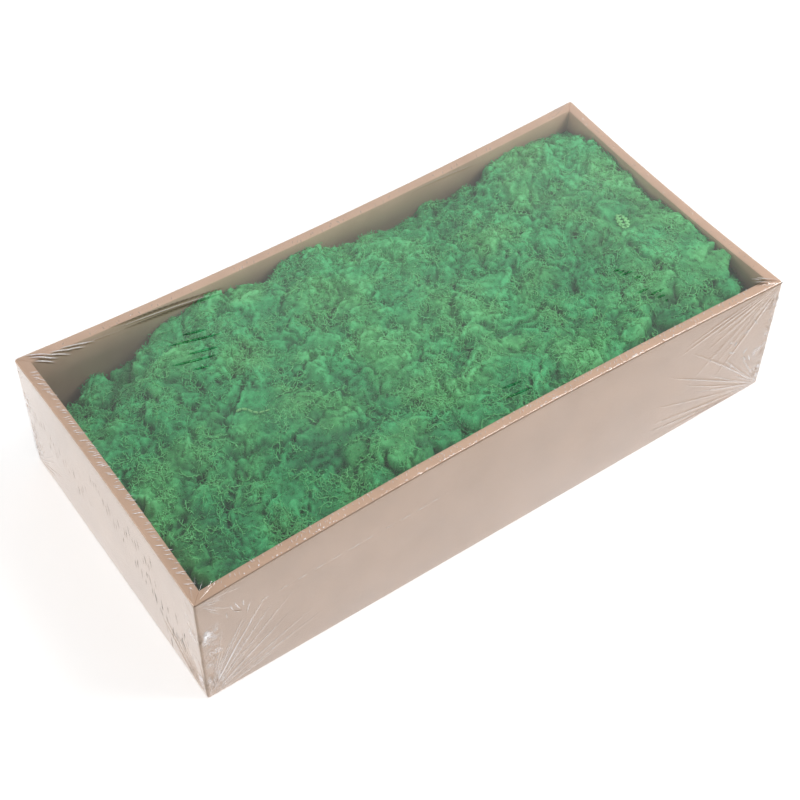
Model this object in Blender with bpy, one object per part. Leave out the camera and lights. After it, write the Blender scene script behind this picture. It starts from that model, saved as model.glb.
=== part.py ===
"""A kraft-board tray filled with clumps of preserved reindeer moss and wrapped in clear shrink film.

X runs along the long side, the front long side faces -Y and +Z is up. The origin is on the underside,
under the middle of the tray. Metres.
"""

import math
import random

import bpy
from mathutils import Vector, noise
from mathutils.bvhtree import BVHTree

# Tray, outside
LENGTH = 0.400
WIDTH = 0.200
HEIGHT = 0.090
RIM = 0.007
BOARD = 0.0015
FOLD_RADIUS = 0.0012
FLAP_GAP = 0.0003

# How far each wall leans in at the middle of its top edge, where the film pulls it
BOW = {"front": 0.0045, "right": 0.0024, "back": 0.0055, "left": 0.0010}
BOW_POWER = 1.6
WALL_ROWS = (0.30, 0.55, 0.78)
LONG_STEPS = 10
SHORT_STEPS = 5

# Film
FILM = 0.0004
CLEAR = 0.0003
TRAY_Z = FILM + CLEAR
SLIT_WIDTH = 0.0009
# Groups of vent slits in the top of the film: their direction in degrees, then each slit's middle and
# its length
SLIT_GROUPS = (
    (
        -15.0,
        (
            (-0.1064, 0.0627, 0.0155),
            (-0.1093, 0.0573, 0.0315),
            (-0.1096, 0.0472, 0.0196),
            (-0.1175, 0.0432, 0.0275),
            (-0.1172, 0.0361, 0.0101),
        ),
    ),
    (
        -8.0,
        (
            (0.1264, -0.0384, 0.0051),
            (0.1274, -0.0411, 0.0045),
            (0.1295, -0.0438, 0.0092),
            (0.1324, -0.0502, 0.0050),
        ),
    ),
    (
        -5.0,
        (
            (0.1277, -0.0607, 0.0084),
            (0.1337, -0.0662, 0.0102),
            (0.1336, -0.0704, 0.0062),
            (0.1339, -0.0750, 0.0025),
        ),
    ),
    (-6.0, ((0.0197, -0.0771, 0.0133), (0.0191, -0.0842, 0.0181))),
)

# Moss
CLUMP_COLUMNS = 6
CLUMP_ROWS = 4
CLUMP_JITTER = 0.26
CLUMP_STAGGER = 0.16
CLUMP_GAP = 0.0004
MOSS_TOP = 0.0880
MOSS_LIMIT = 0.0895
# How far the bed of moss drops at each wall, and how far from the wall that reaches
WALL_DIPS = {
    "front": (0.005, 0.010),
    "right": (0.008, 0.014),
    "back": (0.013, 0.018),
    "left": (0.006, 0.016),
}
# Hollows in the bed: middle, depth and radius
HOLLOWS = (
    (-0.180, 0.085, 0.024, 0.036),
    (0.059, 0.085, 0.006, 0.030),
)
CORE_RINGS = 4
CORE_SHARE = 0.89
# How high these rings of the core are, as shares of its top, and how far out
CORE_WAIST = (0.52, 0.90)
CORE_BASE = (0.0, 0.78)
DOME_DROP = 0.0048
DOME_POWER = 2.4
LUMP_SIZE = 0.016
LUMP_RISE = 0.0048
SWELL_SIZE = 0.045
SWELL_RISE = 0.0040
SPRIG = 0.0085
# Sprigs: their length, the shares of it that they vary between, how upright and how spread they are
TOP_SPRIGS = (SPRIG, (0.62, 1.10), 1.0, 0.41)
SIDE_SPRIGS = (0.0045, (0.60, 1.20), 0.35, 0.18)
FORKED_SHARE = 0.14
FORK_STEM = 0.0065
FORK_PRONG = 0.0050
FORK_NECK = 0.42
FORK_CROWN = 0.0006
PRONG_SPREAD = 0.9
SHORTEN = 0.82
CLEARING_ROUNDS = 40
SEED_STEP = 1.7
SHRINK = 0.995

# Loose bits caught on top of the moss
LEAF_LENGTH = 0.0110
LEAF_WIDTH = 0.0062
LEAF_THICKNESS = 0.0007
LEAF_ARCH = 0.0012
LEAF_FOLD = 0.0006
LEAF_POINT = 0.8
LEAF_SPOT = (0.159, -0.0025, 67.0)
TWIG_LENGTH = 0.0190
TWIG_RADIUS = 0.0008
TWIG_TAPER = 0.45
TWIG_BEND = 0.0016
TWIG_WAVES = 1.2
TWIG_ARCH = 0.0009
TWIG_SPOT = (-0.1075, -0.005, -35.0)
SETTLE_STEP = 0.0002


def clear_scene():
    for obj in list(bpy.data.objects):
        bpy.data.objects.remove(obj, do_unlink=True)


def material(name, colour, roughness, alpha=1.0):
    """A Principled material with a plain colour."""
    mat = bpy.data.materials.new(name)
    mat.use_nodes = True
    shader = mat.node_tree.nodes["Principled BSDF"]
    shader.inputs["Base Color"].default_value = (*colour, 1.0)
    shader.inputs["Roughness"].default_value = roughness
    shader.inputs["Metallic"].default_value = 0.0
    shader.inputs["Alpha"].default_value = alpha
    mat.diffuse_color = (*colour, alpha)
    return mat


def add_object(name, points, faces, mat):
    mesh = bpy.data.meshes.new(name)
    mesh.from_pydata([tuple(p) for p in points], [], faces)
    mesh.materials.append(mat)
    obj = bpy.data.objects.new(name, mesh)
    bpy.context.scene.collection.objects.link(obj)
    return obj


# Tray and film outlines


def wall_point(side, along, inset, level):
    """A point on a wall, inset from its outer face. along runs from -1 to 1, level from 0 to 1."""
    half_length, half_width = LENGTH / 2 - inset, WIDTH / 2 - inset
    lean = BOW[side] * (1 - along * along) * level**BOW_POWER
    if side == "front":
        return along * half_length, lean - half_width
    if side == "back":
        return -along * half_length, half_width - lean
    if side == "right":
        return half_length - lean, along * half_width
    return lean - half_length, -along * half_width


def outline(inset, level):
    """The bowed outline, counter-clockwise from the front left corner."""
    steps = {"front": LONG_STEPS, "right": SHORT_STEPS, "back": LONG_STEPS, "left": SHORT_STEPS}
    points = []
    for side, count in steps.items():
        points += [wall_point(side, 2 * i / count - 1, inset, level) for i in range(count)]
    return points


def skin(rows, fan_top=True):
    """Closes rows of (inset, height) into one body. Its caps are fans, or the last one a single face."""
    points, faces = [], []
    for inset, z in rows:
        level = min(max(z / HEIGHT, 0.0), 1.0)
        points += [(x, y, TRAY_Z + z) for x, y in outline(inset, level)]
    count = 2 * (LONG_STEPS + SHORT_STEPS)
    for row in range(len(rows) - 1):
        low, high = row * count, (row + 1) * count
        for i in range(count):
            j = (i + 1) % count
            faces += [(low + i, low + j, high + j), (low + i, high + j, high + i)]
    faces += [((i + 1) % count, i, len(points)) for i in range(count)]
    points.append((0.0, 0.0, TRAY_Z + rows[0][1]))
    last = (len(rows) - 1) * count
    if fan_top:
        faces += [(last + i, last + (i + 1) % count, len(points)) for i in range(count)]
        points.append((0.0, 0.0, TRAY_Z + rows[-1][1]))
    else:
        faces.append(tuple(range(last, last + count)))
    return points, faces


def fold(inset, direction):
    """The three points of a rounded fold at the rim. direction is 1 going up it and -1 going down."""
    diagonal = FOLD_RADIUS * (1 - math.sqrt(0.5))
    arc = [(0.0, FOLD_RADIUS), (diagonal, diagonal), (FOLD_RADIUS, 0.0)]
    points = [(inset + direction * side, HEIGHT - drop) for side, drop in arc]
    return points if direction > 0 else points[::-1]


def make_tray():
    """Walls of board rolled over at the rim: out and up, over the rim, then down again inside."""
    rows_up = [HEIGHT * share for share in WALL_ROWS]
    rows_down = rows_up[::-1]
    profile = [(0.0, 0.0)]
    profile += [(0.0, z) for z in rows_up]
    profile += fold(0.0, 1) + fold(RIM, -1)
    profile += [(RIM, z) for z in rows_down]
    profile += [(RIM, BOARD + FLAP_GAP), (RIM - BOARD, BOARD + FLAP_GAP)]
    profile += [(RIM - BOARD, z) for z in rows_up]
    profile += [(RIM - BOARD, HEIGHT - BOARD), (BOARD, HEIGHT - BOARD)]
    profile += [(BOARD, z) for z in rows_down]
    profile.append((BOARD, BOARD))
    points, faces = skin(profile)
    return add_object("tray", points, faces, material("kraft_board", (0.50, 0.36, 0.26), 0.8))


def film_box(name, offset, mat):
    """A closed box round the tray at the given offset from its outer faces, bowed as its walls are."""
    rows = [(-offset, -offset)]
    rows += [(-offset, HEIGHT * share) for share in WALL_ROWS]
    rows.append((-offset, HEIGHT + offset))
    points, faces = skin(rows, fan_top=False)
    return add_object(name, points, faces, mat)


def slit_outline(length):
    """A slit that tapers to a point at both ends."""
    quarter, half_width = length / 4, SLIT_WIDTH / 2
    return [
        (-2 * quarter, 0.0),
        (-quarter, -half_width),
        (quarter, -half_width),
        (2 * quarter, 0.0),
        (quarter, half_width),
        (-quarter, half_width),
    ]


def make_slit_cutter(mat):
    """All the vent slits as one cutting object."""
    low, high = TRAY_Z + HEIGHT + CLEAR / 2, TRAY_Z + HEIGHT + CLEAR + 2 * FILM
    points, faces = [], []
    for degrees, slits in SLIT_GROUPS:
        turn = math.radians(degrees)
        cos, sin = math.cos(turn), math.sin(turn)
        for mid_x, mid_y, length in slits:
            shape = slit_outline(length)
            sides = len(shape)
            first = len(points)
            for z in (low, high):
                points += [(mid_x + cos * a - sin * b, mid_y + sin * a + cos * b, z) for a, b in shape]
            faces.append(tuple(first + i for i in reversed(range(sides))))
            faces.append(tuple(first + sides + i for i in range(sides)))
            for i in range(sides):
                j = (i + 1) % sides
                faces.append((first + i, first + j, first + sides + j, first + sides + i))
    return add_object("slit_cutter", points, faces, mat)


def make_film():
    """A thin closed shell round the tray, open only at the vent slits in its top."""
    mat = material("clear_film", (0.95, 0.95, 0.95), 0.08, 0.2)
    film = film_box("film", CLEAR + FILM, mat)
    cutters = [film_box("film_cavity", CLEAR, mat), make_slit_cutter(mat)]
    for cutter in cutters:
        cutter.hide_render = True
        cutter.display_type = "WIRE"
        cut = film.modifiers.new(cutter.name, "BOOLEAN")
        cut.operation = "DIFFERENCE"
        cut.object = cutter
    return film


# Moss


def moss_height(x, y):
    """How high the bed of moss reaches above the tray's underside."""
    half_length, half_width = LENGTH / 2 - RIM, WIDTH / 2 - RIM
    room = {
        "front": half_width + y,
        "right": half_length - x,
        "back": half_width - y,
        "left": half_length + x,
    }
    low = sum(drop * math.exp(-((room[side] / size) ** 2)) for side, (drop, size) in WALL_DIPS.items())
    for hollow_x, hollow_y, depth, radius in HOLLOWS:
        away = math.hypot(x - hollow_x, y - hollow_y) / radius
        low += depth * math.exp(-away * away)
    return MOSS_TOP - low


def clip(polygon, point, normal):
    """The part of a convex polygon on the side of a line that its normal points away from."""
    kept = []
    for i, here in enumerate(polygon):
        before = polygon[i - 1]
        side_here = (here[0] - point[0]) * normal[0] + (here[1] - point[1]) * normal[1]
        side_before = (before[0] - point[0]) * normal[0] + (before[1] - point[1]) * normal[1]
        if side_here * side_before < 0:
            share = side_before / (side_before - side_here)
            kept.append(tuple(before[k] + (here[k] - before[k]) * share for k in (0, 1)))
        if side_here <= 0:
            kept.append(here)
    return kept


def clump_middles(draw):
    """One middle per clump, on a loosened grid over the tray's floor."""
    step_x = (LENGTH - 2 * RIM) / CLUMP_COLUMNS
    step_y = (WIDTH - 2 * RIM) / CLUMP_ROWS
    middles = []
    for row in range(CLUMP_ROWS):
        for column in range(CLUMP_COLUMNS):
            stagger = CLUMP_STAGGER if row % 2 else -CLUMP_STAGGER
            shift_x = draw.uniform(-CLUMP_JITTER, CLUMP_JITTER) + stagger
            shift_y = draw.uniform(-CLUMP_JITTER, CLUMP_JITTER)
            x = (column + 0.5 + shift_x) * step_x - LENGTH / 2 + RIM
            y = (row + 0.5 + shift_y) * step_y - WIDTH / 2 + RIM
            middles.append((x, y))
    return middles


def clump_cell(index, middles):
    """The upright space of one clump: inside the leaning walls, and halfway to each neighbour."""
    x, y = middles[index]
    cell = [(-LENGTH, -LENGTH), (LENGTH, -LENGTH), (LENGTH, LENGTH), (-LENGTH, LENGTH)]
    normals = {"front": (0, -1), "right": (1, 0), "back": (0, 1), "left": (-1, 0)}
    along = {
        "front": x / (LENGTH / 2),
        "right": y / (WIDTH / 2),
        "back": -x / (LENGTH / 2),
        "left": -y / (WIDTH / 2),
    }
    for side, normal in normals.items():
        half = (LENGTH if side in ("front", "back") else WIDTH) / 2
        touch = wall_point(side, along[side], RIM, 1.0)
        slope = 2 * BOW[side] * along[side] / half
        tangent = (-normal[1], normal[0])
        leaning = (normal[0] - slope * tangent[0], normal[1] - slope * tangent[1])
        size = math.hypot(*leaning)
        leaning = (leaning[0] / size, leaning[1] / size)
        edge = (touch[0] - leaning[0] * CLUMP_GAP, touch[1] - leaning[1] * CLUMP_GAP)
        cell = clip(cell, edge, leaning)
    for other, (ox, oy) in enumerate(middles):
        if other == index:
            continue
        apart = math.hypot(ox - x, oy - y)
        normal = ((ox - x) / apart, (oy - y) / apart)
        halfway = apart / 2 - CLUMP_GAP / 2
        cell = clip(cell, (x + normal[0] * halfway, y + normal[1] * halfway), normal)
    return cell


def polygon_middle(polygon):
    """The centre of area of a polygon."""
    area, mid_x, mid_y = 0.0, 0.0, 0.0
    for i, (x1, y1) in enumerate(polygon):
        x0, y0 = polygon[i - 1]
        cross = x0 * y1 - x1 * y0
        area += cross / 2
        mid_x += (x0 + x1) * cross / 6
        mid_y += (y0 + y1) * cross / 6
    return mid_x / area, mid_y / area


def reach(cell, x, y, dx, dy):
    """How many times (dx, dy) fits between (x, y), which is inside the cell, and the cell's edge."""
    nearest = math.inf
    for i, (x1, y1) in enumerate(cell):
        x0, y0 = cell[i - 1]
        normal = (y1 - y0, x0 - x1)
        speed = dx * normal[0] + dy * normal[1]
        if speed > 1e-12:
            nearest = min(nearest, ((x0 - x) * normal[0] + (y0 - y) * normal[1]) / speed)
    return nearest


def core_ring(cell, middle, count, share, turn, level):
    """count points round a clump at a share of the way out to its cell's edge."""
    points = []
    for i in range(count):
        angle = 2 * math.pi * i / count + turn
        dx, dy = math.cos(angle), math.sin(angle)
        distance = share * reach(cell, *middle, dx, dy)
        x, y = middle[0] + dx * distance, middle[1] + dy * distance
        points.append(Vector((x, y, level(x, y, share))))
    return points


def clump_core(cell, middle, seed):
    """A clump's lumpy core: its points, its faces, and how many faces are top and upper side."""
    floor = TRAY_Z + BOARD + CLEAR

    def top(x, y, share):
        lump = noise.noise(Vector((x / LUMP_SIZE, y / LUMP_SIZE, seed)))
        swell = noise.noise(Vector((x / SWELL_SIZE, y / SWELL_SIZE, 0.5)))
        drop = DOME_DROP * (share / CORE_SHARE) ** DOME_POWER
        return TRAY_Z + moss_height(x, y) - SPRIG - drop + LUMP_RISE * lump + SWELL_RISE * swell

    def part_way(part):
        return lambda x, y, share: floor + (top(x, y, 1.0) - floor) * part

    points = [Vector((*middle, top(*middle, 0.0)))]
    starts = [0]
    for ring in range(1, CORE_RINGS + 1):
        starts.append(len(points))
        share = CORE_SHARE * ring / CORE_RINGS
        points += core_ring(cell, middle, 6 * ring, share, seed, top)
    faces = []
    for ring in range(1, CORE_RINGS + 1):
        outer, inner = 6 * ring, max(6 * (ring - 1), 1)
        for sector in range(6):
            for i in range(ring):
                a = starts[ring] + (sector * ring + i) % outer
                b = starts[ring] + (sector * ring + i + 1) % outer
                c = starts[ring - 1] + (sector * (ring - 1) + i) % inner
                faces.append((a, b, c))
                if i < ring - 1:
                    d = starts[ring - 1] + (sector * (ring - 1) + i + 1) % inner
                    faces.append((b, d, c))
    top_faces = len(faces)
    rim, sides = starts[-1], 3 * CORE_RINGS
    lower = []
    for part, share in (CORE_WAIST, CORE_BASE):
        lower.append(len(points))
        points += core_ring(cell, middle, sides, share, seed, part_way(part))
    waist, base = lower
    for i in range(sides):
        j = (i + 1) % sides
        a, b, c = rim + 2 * i, rim + 2 * i + 1, rim + (2 * i + 2) % (2 * sides)
        faces += [(b, a, waist + i), (c, b, waist + j), (waist + i, waist + j, b)]
    side_faces = len(faces)
    for i in range(sides):
        j = (i + 1) % sides
        faces += [(waist + j, waist + i, base + i), (waist + j, base + i, base + j)]
    points.append(Vector((*middle, floor)))
    faces += [(base + (i + 1) % sides, base + i, len(points) - 1) for i in range(sides)]
    return points, faces, top_faces, side_faces


def inside(cell, point):
    """True if a point is in the clump's own space and under the film."""
    if point.z > TRAY_Z + MOSS_LIMIT:
        return False
    for i, (x1, y1) in enumerate(cell):
        x0, y0 = cell[i - 1]
        if (point.x - x0) * (y1 - y0) + (point.y - y0) * (x0 - x1) > 0:
            return False
    return True


def draw_sprigs(points, faces, top_faces, side_faces, draw):
    """What grows on each top and upper side face: its direction, its length, and if it forks."""
    sprigs = []
    for number, face in enumerate(faces[:side_faces]):
        a, b, c = (points[i] for i in face)
        normal = (b - a).cross(c - a).normalized()
        lean = Vector((draw.uniform(-1, 1), draw.uniform(-1, 1), 0))
        on_top = number < top_faces
        forks = on_top and draw.random() < FORKED_SHARE
        size, shares, upright, spread = TOP_SPRIGS if on_top else SIDE_SPRIGS
        direction = (normal + Vector((0, 0, upright)) + lean * spread).normalized()
        sprigs.append([direction, size * draw.uniform(*shares), forks])
    return sprigs


def sprig_points(corners, direction, length, forks):
    """The points that a sprig adds above its triangle: a tip, or a neck, a crown and three tips."""
    root = sum(corners, Vector()) / 3
    if not forks:
        return [root + direction * length]
    scale = length / SPRIG
    neck_middle = root + direction * FORK_STEM * scale
    neck = [neck_middle + (corner - root) * FORK_NECK for corner in corners]
    crown = neck_middle + direction * FORK_CROWN * scale
    tips = []
    for k in range(3):
        side = (neck[k] + neck[(k + 1) % 3]) / 2
        outward = (side - neck_middle).normalized()
        prong = (direction + outward * PRONG_SPREAD).normalized()
        tips.append((side * 2 + crown) / 3 + prong * FORK_PRONG * scale)
    return [*neck, crown, *tips]


def spike_faces(face, tip):
    a, b, c = face
    return [(a, b, tip), (b, c, tip), (c, a, tip)]


def fork_faces(face, first):
    """The stem's sides and the three prongs, for the points of one fork that start at first."""
    neck, crown = (first, first + 1, first + 2), first + 3
    faces = []
    for k in range(3):
        m = (k + 1) % 3
        faces += [(face[k], face[m], neck[m]), (face[k], neck[m], neck[k])]
        faces += spike_faces((neck[k], neck[m], crown), first + 4 + k)
    return faces


def fit_sprigs(core, sprigs, cell):
    """Shortens each sprig until all of it lies in the clump's own space."""
    points, faces = core[0], core[1]
    for sprig, face in zip(sprigs, faces):
        corners = [points[i] for i in face]
        while not all(inside(cell, p) for p in sprig_points(corners, *sprig)):
            sprig[1] *= SHORTEN


def grown(core, sprigs):
    """The core with every sprig on it. owner says which sprig each face belongs to."""
    points, core_faces, side_faces = list(core[0]), core[1], core[3]
    faces = list(core_faces[side_faces:])
    owner = [-1] * len(faces)
    for number, (direction, length, forks) in enumerate(sprigs):
        face, first = core_faces[number], len(points)
        points += sprig_points([points[i] for i in face], direction, length, forks)
        faces += fork_faces(face, first) if forks else spike_faces(face, first)
        owner += [number] * (len(faces) - len(owner))
    return points, faces, owner


def crossed_faces(points, faces):
    """The faces that cut through another. Each is drawn in a little, so that neighbours don't count."""
    corners, triangles = [], []
    for face in faces:
        middle = sum((points[i] for i in face), Vector()) / 3
        triangles.append(tuple(range(len(corners), len(corners) + 3)))
        corners += [middle.lerp(points[i], SHRINK) for i in face]
    tree = BVHTree.FromPolygons(corners, triangles)
    return {i for pair in tree.overlap(tree) if pair[0] != pair[1] for i in pair}


def make_clump(index, cell, mat):
    """One clump, grown on its core. Sprigs that would cross are shortened until none do."""
    draw = random.Random(100 + index)
    middle = polygon_middle(cell)
    core = clump_core(cell, middle, SEED_STEP * (index + 1))
    sprigs = draw_sprigs(*core, draw)
    fit_sprigs(core, sprigs, cell)
    for _ in range(CLEARING_ROUNDS):
        points, faces, owner = grown(core, sprigs)
        crossed = {owner[i] for i in crossed_faces(points, faces)} - {-1}
        if not crossed:
            break
        for number in crossed:
            sprigs[number][1] *= SHORTEN
    return add_object(f"moss_clump_{index + 1:02d}", points, faces, mat)


def make_moss():
    """Every clump in its own space between the walls."""
    draw = random.Random(11)
    middles = clump_middles(draw)
    mat = material("moss", (0.05, 0.32, 0.10), 0.9)
    return [make_clump(i, clump_cell(i, middles), mat) for i in range(len(middles))]


# Loose bits


def tree_of(objects):
    """One search tree over the faces of several objects, whose meshes are in world coordinates."""
    points, faces = [], []
    for obj in objects:
        first = len(points)
        points += [v.co.copy() for v in obj.data.vertices]
        faces += [tuple(first + i for i in face.vertices) for face in obj.data.polygons]
    return BVHTree.FromPolygons(points, faces)


def settle(points, faces, tree, start):
    """Lowers a loose bit on to the moss until it would come within the usual gap of it."""

    def grown_points(level):
        middle = sum(points, Vector()) / len(points)
        placed = []
        for p in points:
            away = (p - middle).normalized() * CLEAR
            placed.append(p + away + Vector((0, 0, level - CLEAR)))
        return placed

    level = start
    while not BVHTree.FromPolygons(grown_points(level - SETTLE_STEP), faces).overlap(tree):
        level -= SETTLE_STEP
    return [p + Vector((0, 0, level)) for p in points]


def turned(points, spot):
    """Points turned about Z and moved to a spot, given as x, y and degrees."""
    x, y, degrees = spot
    turn = math.radians(degrees)
    cos, sin = math.cos(turn), math.sin(turn)
    return [Vector((x + p.x * cos - p.y * sin, y + p.x * sin + p.y * cos, p.z)) for p in points]


def leaf_mesh():
    """A small arched oval leaf with a pointed tip."""
    steps, points, faces = 7, [], []
    for i in range(steps):
        t = (i + 0.5) / steps
        half = LEAF_WIDTH / 2 * math.sin(math.pi * t**LEAF_POINT)
        x = (t - 0.5) * LEAF_LENGTH
        arch = LEAF_ARCH * math.sin(math.pi * t)
        across = [(-half, -LEAF_FOLD), (0.0, 0.0), (half, -LEAF_FOLD)]
        points += [Vector((x, y, z + arch)) for y, z in across]
        points += [Vector((x, y, z + arch + LEAF_THICKNESS)) for y, z in reversed(across)]
    return points, tube_faces(steps, 6)


def twig_mesh():
    """A short bent stem, thinner at one end."""
    steps, sides, points = 7, 6, []
    for i in range(steps):
        t = i / (steps - 1)
        radius = TWIG_RADIUS * (1 - TWIG_TAPER * t)
        x, y = (t - 0.5) * TWIG_LENGTH, TWIG_BEND * math.sin(2 * math.pi * TWIG_WAVES * t)
        z = TWIG_ARCH * math.sin(math.pi * t)
        for k in range(sides):
            angle = 2 * math.pi * k / sides
            points.append(Vector((x, y + radius * math.cos(angle), z + radius * math.sin(angle))))
    return points, tube_faces(steps, sides)


def tube_faces(steps, sides):
    """Faces that join rings of points into a closed body."""
    faces = []
    for i in range(steps - 1):
        for k in range(sides):
            m = (k + 1) % sides
            a, b, c, d = i * sides + k, i * sides + m, (i + 1) * sides + m, (i + 1) * sides + k
            faces += [(a, b, c), (a, c, d)]
    last = (steps - 1) * sides
    for k in range(2, sides):
        m = (k + 1) % sides
        faces += [(1, m, k), (last + 1, last + k, last + m)]
    return faces


def make_loose_bits(clumps):
    """A leaf and a twig, laid on the moss."""
    start = TRAY_Z + HEIGHT
    leaf_points, leaf_faces = leaf_mesh()
    leaf_points = settle(turned(leaf_points, LEAF_SPOT), leaf_faces, tree_of(clumps), start)
    leaf_mat = material("leaf", (0.22, 0.45, 0.16), 0.6)
    add_object("loose_leaf", leaf_points, leaf_faces, leaf_mat)
    twig_points, twig_faces = twig_mesh()
    twig_points = settle(turned(twig_points, TWIG_SPOT), twig_faces, tree_of(clumps), start)
    twig_mat = material("twig", (0.36, 0.46, 0.22), 0.8)
    add_object("loose_twig", twig_points, twig_faces, twig_mat)


def main():
    clear_scene()
    make_tray()
    make_film()
    make_loose_bits(make_moss())


main()
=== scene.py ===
"""The looks of a kraft tray of reindeer moss in clear shrink film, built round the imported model.

X runs along the long side, the front long side faces -Y and +Z is up. Metres, except where a film
face is laid out flat: that is in millimetres.
"""

import math
from collections import namedtuple

import bmesh
import bpy
import numpy as np
from mathutils import Matrix, Vector, geometry, noise


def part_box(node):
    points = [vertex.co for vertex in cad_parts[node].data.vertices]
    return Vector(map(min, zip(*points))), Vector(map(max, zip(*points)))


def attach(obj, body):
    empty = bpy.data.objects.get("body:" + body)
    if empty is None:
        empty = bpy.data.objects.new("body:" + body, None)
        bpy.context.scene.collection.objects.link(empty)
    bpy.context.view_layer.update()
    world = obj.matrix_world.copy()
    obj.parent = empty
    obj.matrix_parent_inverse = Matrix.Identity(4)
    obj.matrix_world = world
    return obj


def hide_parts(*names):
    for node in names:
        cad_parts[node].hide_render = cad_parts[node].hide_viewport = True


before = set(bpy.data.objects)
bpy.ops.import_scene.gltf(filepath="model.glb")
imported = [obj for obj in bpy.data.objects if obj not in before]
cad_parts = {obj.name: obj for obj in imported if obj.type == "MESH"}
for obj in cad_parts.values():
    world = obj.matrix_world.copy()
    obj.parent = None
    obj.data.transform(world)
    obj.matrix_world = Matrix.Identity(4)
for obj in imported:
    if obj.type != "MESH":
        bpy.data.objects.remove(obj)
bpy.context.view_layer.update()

MM = 0.001
TRAY_LOW, TRAY_HIGH = (np.array(corner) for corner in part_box("tray"))
HALF_LENGTH, HALF_WIDTH = TRAY_HIGH[0], TRAY_HIGH[1]
HEIGHT = TRAY_HIGH[2] - TRAY_LOW[2]

# Camera: where it looks, its bearing, height and tilt in degrees, how far off it is, and its lens
CAMERA_TARGET = (-0.038398, -0.047412, 0.0907)
CAMERA_ANGLES = (-35.477, 49.702, 0.806)
CAMERA_DISTANCE = 0.90552
CAMERA_LENS = 73.94

# Brightness of the studio's surroundings, and of the light table under the floor
SKY = 0.42
# A brighter part of the sky, low behind the tray: its brightness, direction and how it fades in
SKY_GLOW = 0.95
SKY_GLOW_WAY = (0.453, 0.785, 0.423)
SKY_GLOW_SPAN = (0.865, 0.965)
FLOOR_GLOW = 0.42
FLOOR_HALF = 4.0
# Soft lights: name, place, what each faces, width, height and radiance
SOFTBOXES = (
    ("key", (0.95, -0.55, 1.35), (0, 0, 0.05), 0.9, 0.8, 6.5),
    ("front", (0.15, -1.35, 0.32), (0, 0, 0.05), 1.8, 0.40, 1.2),
    ("left", (-1.30, 0.10, 0.35), (-0.2, 0, 0.05), 1.0, 0.7, 2.8),
)

# Colours, as red, green and blue: the board with its fibres and flecks, and the painted light that makes the
# rim paler
BOARD_TONES = ((0.3, (0.385, 0.256, 0.172)), (0.7, (0.455, 0.310, 0.215)))
FIBRE_COLOUR = (0.52, 0.37, 0.265)
FLECK_COLOUR = (0.28, 0.18, 0.115)
RIM_PAINTED_LIGHT = (1.62, 1.60, 1.64)
# The moss's painted light, from painted shade in its gaps to painted light on its crests, where it is deep
# green and where it is pale
MOSS_STOPS = (0.0, 0.35, 0.7, 1.0)
MOSS_DEEP = ((0.010, 0.105, 0.046), (0.018, 0.228, 0.080), (0.038, 0.388, 0.132), (0.088, 0.610, 0.228))
MOSS_PALE = ((0.014, 0.115, 0.042), (0.042, 0.285, 0.080), (0.098, 0.480, 0.146), (0.210, 0.750, 0.285))
# The film's milkiness, which also paints highlights, and what a mark of painted shade lets through
FILM_MILK_AND_PAINTED_HIGHLIGHT = (0.95, 0.93, 0.94, 1)
FILM_PAINTED_SHADE = (0.20, 0.19, 0.18)
LEAF_TONES = ((0.24, 0.74, 0.27), (0.34, 0.88, 0.36))
TWIG_TONES = ((0.26, 0.64, 0.24), (0.40, 0.82, 0.38))
# The leaf's growth in length and width, against what rounding takes off
LEAF_GROWTH = (1.35, 1.75)

# How far each wall leans in at the middle of its top edge, where the film pulls it
BOW = {"front": 0.0045, "right": 0.0024, "back": 0.0055, "left": 0.0010}
BOW_POWER = 1.6

# Tray
RIM = 0.007
INSIDE = np.array([HALF_LENGTH, HALF_WIDTH]) - RIM
BOARD = 0.0015
FOLD_RADIUS = 0.0012
FLAP_GAP = 0.0003
CORNER_RADIUS = 0.0015
CORNER_STEPS = (0.0, 0.00035, 0.0008, 0.0015, 0.0035)
TRAY_STEP = 0.008
MITRE_DEPTH = 0.00028
RIM_UNEVEN = 0.00018
# How far down the inside the rim's painted light fades out
RIM_FADE = 0.018
GROOVE_DROP = 0.0026
GROOVE_DEPTH = 0.00025
GROOVE_HALF = 0.0004
FOLD_ANGLE = math.radians(40)
# The walls' outer foot, turned in over a small height
FOOT_INSET = 0.0004
FOOT_RISE = 0.0006
# Where rows of points lie on the walls and the rim, as shares
WALL_ROWS = (0.12, 0.30, 0.55, 0.78)
RIM_ROWS = (0.35, 0.65)
# How much tighter a corner gets with its inset, and its least radius
CORNER_TIGHTENS = 0.2
LEAST_RADIUS = 0.0003
# How quickly the rim's unevenness changes along it and across it
RIM_WAVES = 40
INSET_WAVES = 200
# How much of the rim's painted light is left at the left end, and where it is whole, as a share of the half
# length
LEFT_RIM_PAINTED_LIGHT = 0.76
LEFT_RIM_PAINTED_LIGHT_END = -0.75

# Moss bed: its level above the tray's underside, its drop at each wall and how far that reaches,
# and hollows as middle, depth and radius, of which the last is a mound
MOSS_TOP = 0.0872
WALL_DIPS = {
    "front": (0.007, 0.012), "right": (0.005, 0.011),
    "back": (0.011, 0.017), "left": (0.006, 0.016),
}
HOLLOWS = (
    (-0.173, 0.083, 0.033, 0.038),
    (0.059, 0.085, 0.006, 0.030),
    (-0.140, -0.075, 0.005, 0.050),
    (0.182, -0.060, -0.007, 0.032),
)
MOSS_CEILING = 0.0897
CEILING_SOFT = 0.0030
WALL_CLEAR = 0.0005
WALL_SOFT = 0.0020
SWELL_SIZE = 0.036
SWELL_RISE = 0.0048
SWELL_SLICE = 4.2
LUMP_RISE = 0.0016
# The bed's surface: the step of its grid, and how deep it lies where no lump reaches
BED_STEP = 0.0009
HOLE_DEPTH = 0.009
BLUR_REACH = 2.5
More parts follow.
